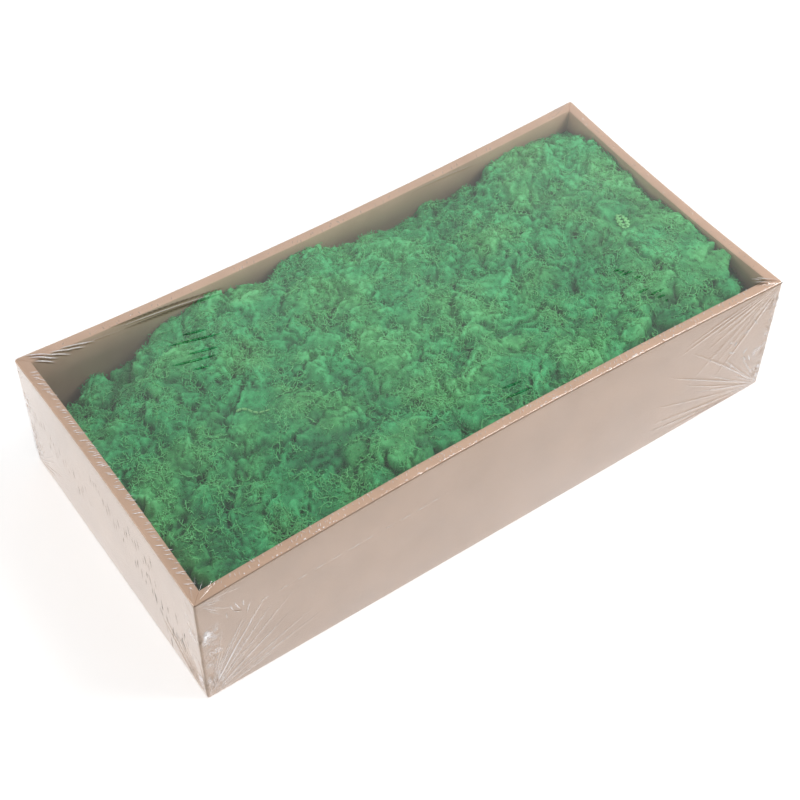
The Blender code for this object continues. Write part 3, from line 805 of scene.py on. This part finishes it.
def owners(spots):
    """The clump whose outline, seen from above, holds each spot or is nearest to it."""
    nearest, owner = np.full(len(spots), np.inf), np.zeros(len(spots), int)
    for index, name in enumerate(CLUMPS):
        outline = clump_outline(name)
        ahead = np.roll(outline, -1, axis=0) - outline
        outward = unit(np.stack([ahead[:, 1], -ahead[:, 0]], axis=1))
        away = ((spots[:, None, :2] - outline[None]) * outward[None]).sum(axis=2).max(axis=1)
        owner = np.where(away < nearest, index, owner)
        nearest = np.minimum(away, nearest)
    return owner


def clump_outline(name):
    """The convex outline of a clump from above, counter-clockwise."""
    flat = [v.co.to_2d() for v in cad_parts[name].data.vertices]
    return np.array([flat[i] for i in geometry.convex_hull_2d(flat)])


def tubes(paths, radii, draw):
    """Closed three-sided tubes along many paths of the same number of points, ending in a point."""
    count, steps = paths.shape[:2]
    ahead = unit(np.gradient(paths, axis=1))
    helper = unit(draw.normal(size=(count, 1, 3)))
    side = unit(np.cross(ahead, helper))
    up = np.cross(ahead, side)
    angles = 2 * np.pi * np.arange(3) / 3
    round_it = np.cos(angles)[:, None] * side[:, :, None] + np.sin(angles)[:, None] * up[:, :, None]
    rings = paths[:, :, None] + radii[..., None, None] * round_it
    body = rings[:, :-1].reshape(count, -1, 3)
    points = np.concatenate([body, paths[:, -1:]], axis=1)
    pattern = [(2, 1, 0)]
    for step in range(steps - 2):
        for k in range(3):
            a, b = 3 * step + k, 3 * step + (k + 1) % 3
            pattern += [(a, b, b + 3), (a, b + 3, a + 3)]
    last = 3 * (steps - 2)
    pattern += [(last + k, last + (k + 1) % 3, last + 3) for k in range(3)]
    per_tube = points.shape[1]
    triangles = np.array(pattern)[None] + per_tube * np.arange(count)[:, None, None]
    return points.reshape(-1, 3), triangles.reshape(-1, 3), per_tube


def sprig_paths(draw, roots, ways):
    """A curly stem and two side shoots for every sprig that stands on the bed."""
    step = draw.uniform(*SPRIG_STEP, (len(roots), 1))
    ahead = unit(ways + draw.normal(0, SPRIG_LEAN, ways.shape))
    stems = curly(roots - ways * SPRIG_SINK, ahead, step, len(SPRIG_TAPER), draw)
    shoots = []
    for fork in (1, 2):
        side = unit(np.cross(ahead, unit(draw.normal(size=ahead.shape))))
        way = unit(ahead * SHOOT_AHEAD + side * SHOOT_ASIDE)
        shoots.append(curly(stems[:, fork], way, step * SHOOT_STEP, len(SHOOT_TAPER), draw))
    return stems, np.concatenate(shoots)


def curly(start, way, step, count, draw):
    """Paths of count points that set off along their ways and curl at random."""
    path = [start]
    for _ in range(count - 1):
        path.append(path[-1] + way * step)
        way = unit(way + draw.normal(0, CURL, way.shape))
    return np.stack(path, axis=1)


def string_starts(draw, sheet, light):
    """Where a clump's strings start: in a few nests, and here and there alone."""
    chance = light**2 / np.sum(light**2)
    nests = sheet[draw.choice(len(sheet), NESTS, p=chance)]
    packed = np.repeat(nests, NEST_STRINGS, axis=0)
    packed[:, :2] += draw.normal(0, NEST_SPREAD, (len(packed), 2))
    return np.concatenate([packed, sheet[draw.choice(len(sheet), LONE_STRINGS, p=chance)]])


def string_paths(draw, spots, height):
    """Curly strings that lie on the moss, and the short ones that fork from them."""
    count = len(spots)
    heading = draw.uniform(0, 2 * np.pi, count)
    curl = draw.normal(0, STRING_CURL, count)
    place, path = spots.copy(), []
    for _ in range(STRING_POINTS):
        place[:, 2] = height(place) + draw.uniform(*STRING_LIE_SHARES, count) * STRING_LIE
        path.append(place.copy())
        heading = heading + curl + draw.normal(0, STRING_CURL, count)
        place[:, 0] += STRING_STEP * np.cos(heading)
        place[:, 1] += STRING_STEP * np.sin(heading)
    main = np.stack(path, axis=1)
    forks = []
    for number in range(STRING_FORKS):
        start = main[:, 1 + 2 * number]
        ahead = unit(main[:, 2 + 2 * number] - start)
        hand = draw.choice([-1.0, 1.0], count)[:, None]
        across = np.stack([-ahead[:, 1], ahead[:, 0], np.zeros(count)], axis=1) * hand
        way = unit(ahead * FORK_AHEAD + across + draw.normal(0, FORK_SPREAD, ahead.shape))
        step = STRING_STEP * draw.uniform(*FORK_STEP, (count, 1))
        forks.append(curly(start, way, step, FORK_POINTS, draw))
    return main, np.concatenate(forks)


def closed_below(points, triangles, floor):
    """An open sheet closed with walls down to a floor of its own."""
    edges = np.concatenate([triangles[:, [0, 1]], triangles[:, [1, 2]], triangles[:, [2, 0]]])
    _, index, uses = np.unique(np.sort(edges, axis=1), axis=0, return_index=True, return_counts=True)
    a, b = edges[index[uses == 1]].T
    rim = np.unique([a, b])
    low = points[rim]
    low[:, 2] = floor
    middle = [[*low[:, :2].mean(axis=0), floor]]
    low_a, low_b = (len(points) + np.searchsorted(rim, end) for end in (a, b))
    centre = np.full(len(a), len(points) + len(rim))
    walls = [np.stack([b, a, low_a], axis=1), np.stack([b, low_a, low_b], axis=1)]
    below = np.stack([low_b, low_a, centre], axis=1)
    return np.concatenate([points, low, middle]), np.concatenate([triangles, *walls, below])


def eased(value, limit, soft):
    """Value, slowed over the last stretch before the limit so that it never passes it."""
    over = np.maximum(value - (limit - soft), 0)
    return np.where(over > 0, limit - soft * np.exp(-over / soft), value)


def kept_in(points):
    """Keeps moss under the film, inside the walls and below the loose bits that lie on it."""
    x, y, z = points.T
    z = eased(z, TRAY_LOW[2] + MOSS_CEILING, CEILING_SOFT)
    for name in ("loose_leaf", "loose_twig"):
        low, high = (np.array(corner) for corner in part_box(name))
        middle, half = (low + high) / 2, (high - low) / 2
        away = np.maximum(np.hypot(*((points[:, :2] - middle[:2]) / (half[:2] + BIT_ROOM)).T) - 1, 0)
        ripple = BIT_RIPPLE * np.sin(points[:, 0] * BIT_RIPPLE_RATE)
        z = np.minimum(z, low[2] + BIT_RISE + BIT_SLOPE * away + ripple)
    x, y = (np.sign(a) * eased(np.abs(a), limit, WALL_SOFT) for a, limit in zip((x, y), INSIDE - WALL_CLEAR))
    return bowed(np.stack([x, y, z], axis=1))


def make_clump(index, surface, triangles, light, ways, height, mat):
    """One clump of moss: its part of the bed, with its sprigs and strings."""
    draw = np.random.default_rng(CLUMP_SEED + index)
    used = np.unique(triangles)
    sheet, sheet_light, sheet_ways = surface[used], light[used], ways[used]
    floor = TRAY_LOW[2] + BOARD + FLAP_GAP
    body, body_triangles = closed_below(sheet, np.searchsorted(used, triangles), floor)
    # The bed's walls and underside take the deepest painted shade
    body_light = np.concatenate([sheet_light, np.zeros(len(body) - len(sheet))])

    area = len(triangles) * BED_STEP**2 / 2
    chosen = draw.integers(0, len(used), round(area * SPRIGS_PER_AREA))
    stems, shoots = sprig_paths(draw, sheet[chosen], sheet_ways[chosen])
    starts = string_starts(draw, sheet, sheet_light)
    main, forks = string_paths(draw, starts, height)
    taper = np.linspace(1.0, STRING_TIP, STRING_POINTS)
    root_light = sheet_light[chosen]
    bright = draw.uniform(*STRING_LIGHT, len(starts))
    fork_radius = STRING_RADIUS * FORK_RADIUS * taper[:FORK_POINTS]
    shoot_light = np.tile(root_light, 2) + SHOOT_LIGHT
    parts = (
        (stems, SPRIG_RADIUS * np.array(SPRIG_TAPER), root_light + SPRIG_LIGHT, SPRIG_GAIN, SPRIG_TONES),
        (shoots, SHOOT_RADIUS * np.array(SHOOT_TAPER), shoot_light, SHOOT_GAIN, SPRIG_TONES),
        (main, STRING_RADIUS * taper, bright, 0.0, STRING_TONES),
        (forks, fork_radius, np.tile(bright, STRING_FORKS), 0.0, STRING_TONES),
    )
    points, faces, lights = [kept_in(body)], [body_triangles], [body_light]
    tones, first = [np.zeros(len(body))], len(body)
    for paths, radius, at_root, gain, tone in parts:
        radius = np.broadcast_to(radius, paths.shape[:2])
        tube_points, tube_triangles, per_tube = tubes(paths, radius, draw)
        along = np.minimum(np.arange(per_tube) // 3 / (paths.shape[1] - 1), 1.0)
        points.append(kept_in(tube_points))
        faces.append(tube_triangles + first)
        lights.append((np.asarray(at_root)[:, None] + gain * along).ravel())
        tones.append(np.repeat(draw.uniform(*tone, len(paths)) ** 2, per_tube))
        first += len(tube_points)
    values = {"light": np.clip(np.concatenate(lights), 0, 1), "tone": np.concatenate(tones)}
    points, faces = np.concatenate(points), np.concatenate(faces)
    return add_piece(f"reindeer_moss_{index + 1:02d}", points, faces, mat, [CLUMPS[index]], values)


def make_moss(mat):
    grid = Grid(np.random.default_rng(BED_SEED))
    bed, light = moss_bed(grid)
    slope_x, slope_y = np.gradient(grid.smooth(bed, BED_STEP), BED_STEP)
    ways = unit(np.stack([-slope_x, -slope_y, np.ones_like(bed)], axis=-1)).reshape(-1, 3)
    surface = np.stack([grid.x, grid.y, bed], axis=-1).reshape(-1, 3)
    lie = grid.smooth(bed, 2 * BED_STEP)

    count = bed.shape[1]
    here = (np.arange(bed.shape[0] - 1)[:, None] * count + np.arange(count - 1)).ravel()
    owner = owners(bowed(surface[here]))
    triangles = np.stack([
        np.stack([here, here + count, here + count + 1], axis=1),
        np.stack([here, here + count + 1, here + 1], axis=1),
    ], axis=1)
    for index in range(len(CLUMPS)):
        mine = triangles[owner == index].reshape(-1, 3)
        make_clump(index, surface, mine, light.ravel(), ways, lambda places: grid.read(lie, places), mat)


# Film


def turns_to_rows():
    """How far from a box edge the rows lie that round it."""
    return [EDGE * (1 - math.tan(math.radians(turn))) for turn in reversed(EDGE_TURNS)]


def edge_steps(length):
    """Places along an edge of the film: the rounding rows at both ends, and even steps between."""
    rows = turns_to_rows()
    count = round((length - 2 * EDGE) / EDGE_STEP)
    middle = list(np.linspace(EDGE, length - EDGE, count + 1))[1:-1]
    return np.array(rows + middle + [length - row for row in reversed(rows)])


def base_points(width, height, draw):
    """A film face's plain points: rows along its edges and a loose grid inside."""
    points = []
    for row in turns_to_rows():
        for u in edge_steps(width):
            points += [(u, row), (u, height - row)]
        for v in edge_steps(height):
            points += [(row, v), (width - row, v)]
    for u in np.arange(2 * EDGE + 1, width - 2 * EDGE, GRID_STEP):
        for v in np.arange(2 * EDGE + 1, height - 2 * EDGE, GRID_STEP):
            points.append(np.array([u, v]) + draw.uniform(0, GRID_JITTER, 2))
    return points


def knot_points(width, height, draw):
    """Close points along a face's two upright edges, where the film is crumpled."""
    points = []
    for u in np.arange(EDGE + KNOT_START, KNOT_REACH, KNOT_STEP):
        for v in np.arange(EDGE + KNOT_GAP, height - EDGE - KNOT_GAP, KNOT_STEP):
            for side in (u, width - u):
                points.append(np.array([side, v]) + draw.uniform(-KNOT_JITTER, KNOT_JITTER, 2))
    return points


def crease_frame(crease):
    """A crease's start, run, length and sideways direction."""
    start, end = np.array(crease.start, float), np.array(crease.end, float)
    run = end - start
    length = np.hypot(*run)
    return start, run, length, np.array([-run[1], run[0]]) / length


def crease_rows(crease):
    """The crest of a crease, its feet and a line just outside them, as rows of points."""
    start, run, length, normal = crease_frame(crease)
    along = np.linspace(0, 1, max(4, round(length / CREASE_STEP)))[:, None]
    swell = np.sin(np.pi * along)
    crest = start + run * along + normal * crease.bend * swell
    spread = normal * crease.half_width * np.sqrt(swell)
    return [crest + spread * share for share in CREASE_ROWS]


def crease_share(crease, points):
    """How much of a crease's lift reaches each point of its face, from 0 to 1, and on which side it is."""
    start, run, length, normal = crease_frame(crease)
    along = (points - start) @ run / length**2
    swell = np.sin(np.pi * np.clip(along, 0, 1))
    away = (points - start) @ normal - crease.bend * swell
    width = np.maximum(crease.half_width * np.sqrt(swell), 1e-6)
    return np.sqrt(swell) * np.clip(1 - np.abs(away) / width, 0, 1), away > 0


def heading(degrees):
    """The direction at an angle on a flat face."""
    return np.array([math.cos(math.radians(degrees)), math.sin(math.radians(degrees))])


def slit_creases():
    """The vent slits on the top face, as creases whose half width is that of the opening."""
    slits = []
    for degrees, group in SLIT_GROUPS:
        way = heading(degrees)
        for x, y, length in group:
            middle = np.array([x + HALF_LENGTH, y + HALF_WIDTH]) / MM + REST
            half = way * length / MM / 2
            slits.append(Crease(middle - half, middle + half, 0.0, SLIT_WIDTH / 2, LIP_LIFT, 0.0))
    return slits


def fan(corner, angles, count, lengths, half_width, lift, haze, draw):
    """Folds that spread from a corner of a face, between two angles in degrees."""
    folds = []
    for i in range(count):
        share = (i + draw.uniform(*FAN_PLACES)) / count
        way = heading(angles[0] + (angles[1] - angles[0]) * share)
        start = corner + way * draw.uniform(*FAN_START)
        length = draw.uniform(*lengths)
        width = half_width * draw.uniform(*WIDTH_SPREAD)
        bend = draw.uniform(-FAN_BEND, FAN_BEND) * length
        raised = lift * draw.uniform(*FAN_LIFTS)
        shown = haze * draw.uniform(*FAN_HAZES)
        folds.append(Crease(start, start + way * length, bend, width, raised, shown))
    return folds


def fans(rows, size, draw):
    """The folds of several fans, whose corners are given as shares of the face's size."""
    return [fold for corner, *shape in rows for fold in fan(size * np.array(corner), *shape, draw)]


def counted(span, end):
    """A span along a face, where places below zero count back from its end."""
    return [place if place > 0 else end + place for place in span]


def strokes(count, u_span, v_span, degrees, lengths, half_width, lift, haze, draw):
    """Short folds at random places in a box of a face, near one direction."""
    folds = []
    for _ in range(count):
        middle = np.array([draw.uniform(*u_span), draw.uniform(*v_span)])
        half = heading(draw.normal(*degrees)) * draw.uniform(*lengths) / 2
        bend = draw.uniform(-STROKE_BEND, STROKE_BEND)
        width = half_width * draw.uniform(*WIDTH_SPREAD)
        folds.append(Crease(middle - half, middle + half, bend, width, lift, haze))
    return folds


def rim_ticks(rim, rows, along, across, upright, draw):
    """Ticks at random along a pair of rims, on a face so long and wide."""
    first, last, pitch, jitter = rim
    folds = []
    for place in np.arange(first, along - last, pitch):
        for chance, depths, *shape in rows:
            if draw.random() < chance:
                spans = [(place, place + jitter), counted(depths, across)]
                folds += strokes(1, *(spans[::-1] if upright else spans), *shape, draw)
    return folds


def face_creases(side, size, draw):
    """The folds that the photograph shows on each face, and their like on the hidden ones."""
    width, height = size
    folds = []
    if side in ("front", "back"):
        folds += fans(LONG_FANS, size, draw)
        for u in np.arange(*DASH_PLACES):
            v = height * DASH_LEVEL + draw.uniform(-DASH_UNEVEN, DASH_UNEVEN)
            folds.append(Crease((u, v), (u + draw.uniform(*DASH_LENGTHS), v + DASH_RISE), 0, *DASH_SHAPE))
        for count, u_span, *shape in LONG_MARKS:
            folds += strokes(count, counted(u_span, width), *shape, draw)
    if side in ("left", "right"):
        folds += fans(SHORT_FANS, size, draw)
        for u, v, v_spread, number, dark in MARK_ROWS:
            for step in range(number):
                near = u + MARK_PITCH * step
                spans = (near, near + MARK_JITTER), (v - v_spread, v + v_spread)
                haze = MARK_HAZE * dark * draw.uniform(*MARK_HAZES)
                folds += strokes(1, *spans, *MARK_SHAPE, haze, draw)
    if side == "top":
        folds += top_creases(size, draw)
    return folds


def top_creases(size, draw):
    """Ticks across the rims, streaks and fans at the corners and the long folds by the back rim."""
    width, height = size
    folds = rim_ticks(LONG_RIM, LONG_RIM_TICKS, width, height, False, draw)
    folds += rim_ticks(SHORT_RIM, SHORT_RIM_TICKS, height, width, True, draw)
    for (start_u, start_v), (end_u, end_v) in CORNER_STREAKS:
        start, end = (start_u, height - start_v), (end_u, height - end_v)
        shade_start, shade_end = start + PAINTED_SHADE_STREAK_SHIFT, end + PAINTED_SHADE_STREAK_SHIFT * PAINTED_SHADE_STREAK_SPREAD
        folds.append(Crease(start, end, *PAINTED_HIGHLIGHT_STREAK_SHAPE))
        folds.append(Crease(shade_start, shade_end, *PAINTED_SHADE_STREAK_SHAPE))
    folds += fans(TOP_FANS, size, draw)
    for (start_u, start_v), (end_u, end_v), *shape in LONG_FOLDS:
        folds.append(Crease((start_u, height - start_v), (end_u, height - end_v), *shape))
    return folds


def knots(points):
    """Crumples near the upright edges of the box: lift in millimetres, and haze with painted highlight and
    shade, at each point.
    """
    lifts, haze = np.zeros(len(points)), np.zeros(len(points))
    reach = np.abs(np.abs(points[:, :2]) - FILM_HIGH[:2]).max(axis=1)
    level = points[:, 2] / (HEIGHT / MM)
    for i in np.nonzero(reach < KNOT_REACH)[0]:
        where = Vector(points[i])
        group = noise.noise(where / KNOT_GROUP + Vector((3.1, 0, 0)))
        share = min(1.0, KNOT_GAIN * (1 - reach[i] / KNOT_REACH))
        share *= min(1.0, max(0.0, KNOT_COVER + KNOT_COVER_GAIN * group))
        share *= min(1.0, KNOT_LOW_FADE * level[i]) * min(1.0, KNOT_HIGH_FADE * (1 - level[i]))
        valley = abs(noise.noise(where / KNOT_SIZE))
        fold = 1 - KNOT_FOLD * valley - KNOT_FINE_FOLD * abs(noise.noise(where / KNOT_FINE_SIZE))
        inward = min(1.0, reach[i] / KNOT_EDGE)
        lifts[i] = share * fold * LIFT * inward
        # Painted highlight in patches, and painted shade along the crumples' valleys
        painted_highlight = max(0.0, noise.noise(where / KNOT_PATCH + Vector((0, 7.3, 0))) + KNOT_PAINTED_HIGHLIGHT_START)
        dark = max(0.0, 1 - KNOT_PAINTED_SHADE_GAIN * valley)
        haze[i] = share * ((KNOT_PAINTED_HIGHLIGHT * painted_highlight + KNOT_MILK) * inward - KNOT_PAINTED_SHADE * dark)
        # Painted shade: a dark line along the two front upright edges
        if points[i][1] < 0:
            haze[i] -= UPRIGHT_PAINTED_SHADE * max(0.0, 1 - reach[i] / UPRIGHT_PAINTED_SHADE_WIDTH)
    return lifts, haze


def face_mesh(side, draw):
    """One face of the film: its points in millimetres, triangles, lift, and haze with painted highlight and
    shade.
    """
    corner, u_way, v_way, own_haze = FACES[side]
    u_way, v_way = np.array(u_way), np.array(v_way)
    size = np.array([abs(way) @ (FILM_HIGH - FILM_LOW) for way in (u_way, v_way)])
    width, height = size
    folds = face_creases(side, size, draw)
    slits = slit_creases() if side == "top" else []
    points, joins = base_points(width, height, draw), []
    if side not in ("top", "bottom"):
        points += knot_points(width, height, draw)
    rows = [row for fold in folds for row in crease_rows(fold)]
    for slit in slits:
        wide = slit._replace(half_width=slit.half_width + LIP_WIDTH)
        rows += [crease_rows(fold)[i] for fold in (slit, wide) for i in FEET]
    for row in rows:
        row = np.clip(row, MARGIN, size - MARGIN)
        joins += [(len(points) + i, len(points) + i + 1) for i in range(len(row) - 1)]
        points += list(row)
    joined = geometry.delaunay_2d_cdt([Vector(p) for p in points], joins, [], 0, JOIN_GAP)
    flat, faces = np.array(joined[0], float), np.array(joined[2])
    for slit in slits:
        faces = faces[crease_share(slit, flat[faces].mean(axis=1))[0] <= 0]
    middles = flat[faces].mean(axis=1)
    lift = np.zeros(len(flat))
    haze = np.interp(middles[:, 1] / height, (0, 1), own_haze)
    for fold in folds:
        lift = np.maximum(lift, crease_share(fold, flat)[0] * fold.lift)
        share, lit = crease_share(fold, middles)
        # The lit side takes the fold's haze; a wide fold's other side takes painted shade
        other = fold.haze if fold.half_width < NARROW else -PAINTED_SHADE_FLANK * abs(fold.haze)
        haze += 2 * share * np.where(lit, fold.haze, other)
    for slit in slits:
        wide = slit._replace(half_width=slit.half_width + LIP_WIDTH)
        lift = np.maximum(lift, crease_share(wide, flat)[0] * slit.lift)
        # The lips take painted shade
        haze = np.where(crease_share(wide, middles)[0] > 0, LIP_PAINTED_SHADE, haze)
    if side == "front":
        # Painted shade: a dark line along the front's top edge
        haze[middles[:, 1] > height - FRONT_EDGE_PAINTED_SHADE_WIDTH] = FRONT_EDGE_PAINTED_SHADE
    if side == "top":
        haze += END_HAZE_AND_REFLECTION * np.clip(1 - (width - middles[:, 0]) / END_HAZE_AND_REFLECTION_REACH, 0, 1)
    start = np.where(np.array(corner) < 0, FILM_LOW, FILM_HIGH)
    place = start + flat[:, :1] * u_way + flat[:, 1:] * v_way
    return place, faces, lift, np.clip(haze, *HAZE_SPAN)


def make_film(mat):
    """The whole film: six faces met at rounded edges, lifted by their folds and bowed as the walls are."""
    draw = np.random.default_rng(FILM_SEED)
    points, triangles, hazes_and_painted_light, first = [], [], [], 0
    for side in FACES:
        place, faces, lift, haze = face_mesh(side, draw)
        inner = np.clip(place, FILM_LOW + EDGE, FILM_HIGH - EDGE)
        outward = unit(place - inner)
        wave = np.array([noise.noise(Vector(p / WAVE_SIZE)) for p in place])
        lift = np.clip(lift + knots(place)[0] + WAVE_LIFT * wave, SINK, LIFT)
        lift = np.where(place[:, 2] < FILM_LOW[2] + EDGE / 2, np.minimum(lift, 0.0), lift)
        points.append(inner + outward * (EDGE + lift)[:, None])
        triangles.append(faces + first)
        if side not in ("top", "bottom"):
            haze = np.clip(haze + knots(place[faces].mean(axis=1))[1], *HAZE_SPAN)
        hazes_and_painted_light.append(haze)
        first += len(place)
    points = bowed(np.concatenate(points) * MM)
    film = add_piece(
        "shrink_film", points, np.concatenate(triangles), mat, ["film"],
        {"haze": np.concatenate(hazes_and_painted_light)},
    )
    weld(film, WELD_GAP)
    film.data.set_sharp_from_angle(angle=SHARP_ANGLE)
    return film


def weld(piece, distance):
    """Joins points of a piece that lie in the same place."""
    mesh = bmesh.new()
    mesh.from_mesh(piece.data)
    bmesh.ops.remove_doubles(mesh, verts=mesh.verts, dist=distance)
    mesh.to_mesh(piece.data)
    mesh.free()


# Loose bits


def make_bit(name, node, mat, growth=(1, 1)):
    """A finer copy of a loose bit, where its solid lies, grown in length and width about its middle."""
    piece = placed(name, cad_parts[node].data.copy())
    middle = (Vector(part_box(node)[0]) + Vector(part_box(node)[1])) / 2
    grow = Matrix.Diagonal((*growth, 1, 1))
    piece.data.transform(Matrix.Translation(middle) @ grow @ Matrix.Translation(-middle))
    piece.data.materials.clear()
    piece.data.materials.append(mat)
    piece.data.shade_smooth()
    smooth = piece.modifiers.new("rounded", "SUBSURF")
    smooth.levels = smooth.render_levels = 2
    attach(piece, "root")
    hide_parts(node)
    return piece


# Floor, lights and camera


def make_floor():
    mesh = bpy.data.meshes.new("floor")
    low, high = -FLOOR_HALF, FLOOR_HALF
    mesh.from_pydata([(low, low, 0), (high, low, 0), (high, high, 0), (low, high, 0)], [], [(0, 1, 2, 3)])
    floor = placed("floor", mesh)
    mat = Nodes("pale_floor").solid(
        Base_Color=(0.93, 0.93, 0.93, 1), Roughness=0.9,
        Emission_Color=(1, 1, 1, 1), Emission_Strength=FLOOR_GLOW,
    )
    mesh.materials.append(mat)


def softbox(name, place, target, size_x, size_y, radiance):
    """A soft rectangular light that faces a target, as bright as its radiance says."""
    data = bpy.data.lights.new(name, "AREA")
    data.shape = "RECTANGLE"
    data.size, data.size_y = size_x, size_y
    data.energy = radiance * math.pi * size_x * size_y
    light = placed(name, data)
    light.location = place
    light.rotation_mode = "QUATERNION"
    light.rotation_quaternion = (Vector(target) - Vector(place)).to_track_quat("-Z", "Y")


def make_lights():
    world = bpy.data.worlds.new("studio")
    world.use_nodes = True
    tree = world.node_tree
    place = tree.nodes.new("ShaderNodeTexCoord")
    near_glow = tree.nodes.new("ShaderNodeVectorMath")
    near_glow.operation = "DOT_PRODUCT"
    near_glow.inputs[1].default_value = SKY_GLOW_WAY
    tree.links.new(place.outputs["Generated"], near_glow.inputs[0])
    strength = tree.nodes.new("ShaderNodeMapRange")
    strength.interpolation_type = "SMOOTHSTEP"
    for key, value in zip(("From Min", "From Max", "To Min", "To Max"), (*SKY_GLOW_SPAN, SKY, SKY_GLOW)):
        strength.inputs[key].default_value = value
    tree.links.new(near_glow.outputs["Value"], strength.inputs["Value"])
    tree.links.new(strength.outputs[0], tree.nodes["Background"].inputs["Strength"])
    tree.nodes["Background"].inputs["Color"].default_value = (1.0, 1.0, 1.0, 1)
    bpy.context.scene.world = world
    for row in SOFTBOXES:
        softbox(*row)


def make_camera():
    camera = placed("camera", bpy.data.cameras.new("camera"))
    turn, rise, tilt = (math.radians(angle) for angle in CAMERA_ANGLES)
    back = Vector((math.sin(turn) * math.cos(rise), -math.cos(turn) * math.cos(rise), math.sin(rise)))
    level = Vector((math.cos(turn), math.sin(turn), 0))
    upright = back.cross(level)
    right = math.cos(tilt) * level + math.sin(tilt) * upright
    up = -math.sin(tilt) * level + math.cos(tilt) * upright
    place = Vector(CAMERA_TARGET) + back * CAMERA_DISTANCE
    rotation = Matrix((right, up, back)).transposed().to_4x4()
    camera.matrix_world = Matrix.Translation(place) @ rotation
    camera.data.lens = CAMERA_LENS
    camera.data.sensor_width = 36
    bpy.context.scene.camera = camera


CLUMPS = sorted(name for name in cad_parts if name.startswith("moss_clump_"))

make_camera()
make_floor()
make_lights()
make_tray(kraft_material())
make_moss(moss_material())
make_film(film_material())
make_bit("oval_leaf", "loose_leaf", bit_material("leaf", *LEAF_TONES), LEAF_GROWTH)
make_bit("dry_twig", "loose_twig", bit_material("twig", *TWIG_TONES))
bpy.context.scene.view_settings.view_transform = "Standard"
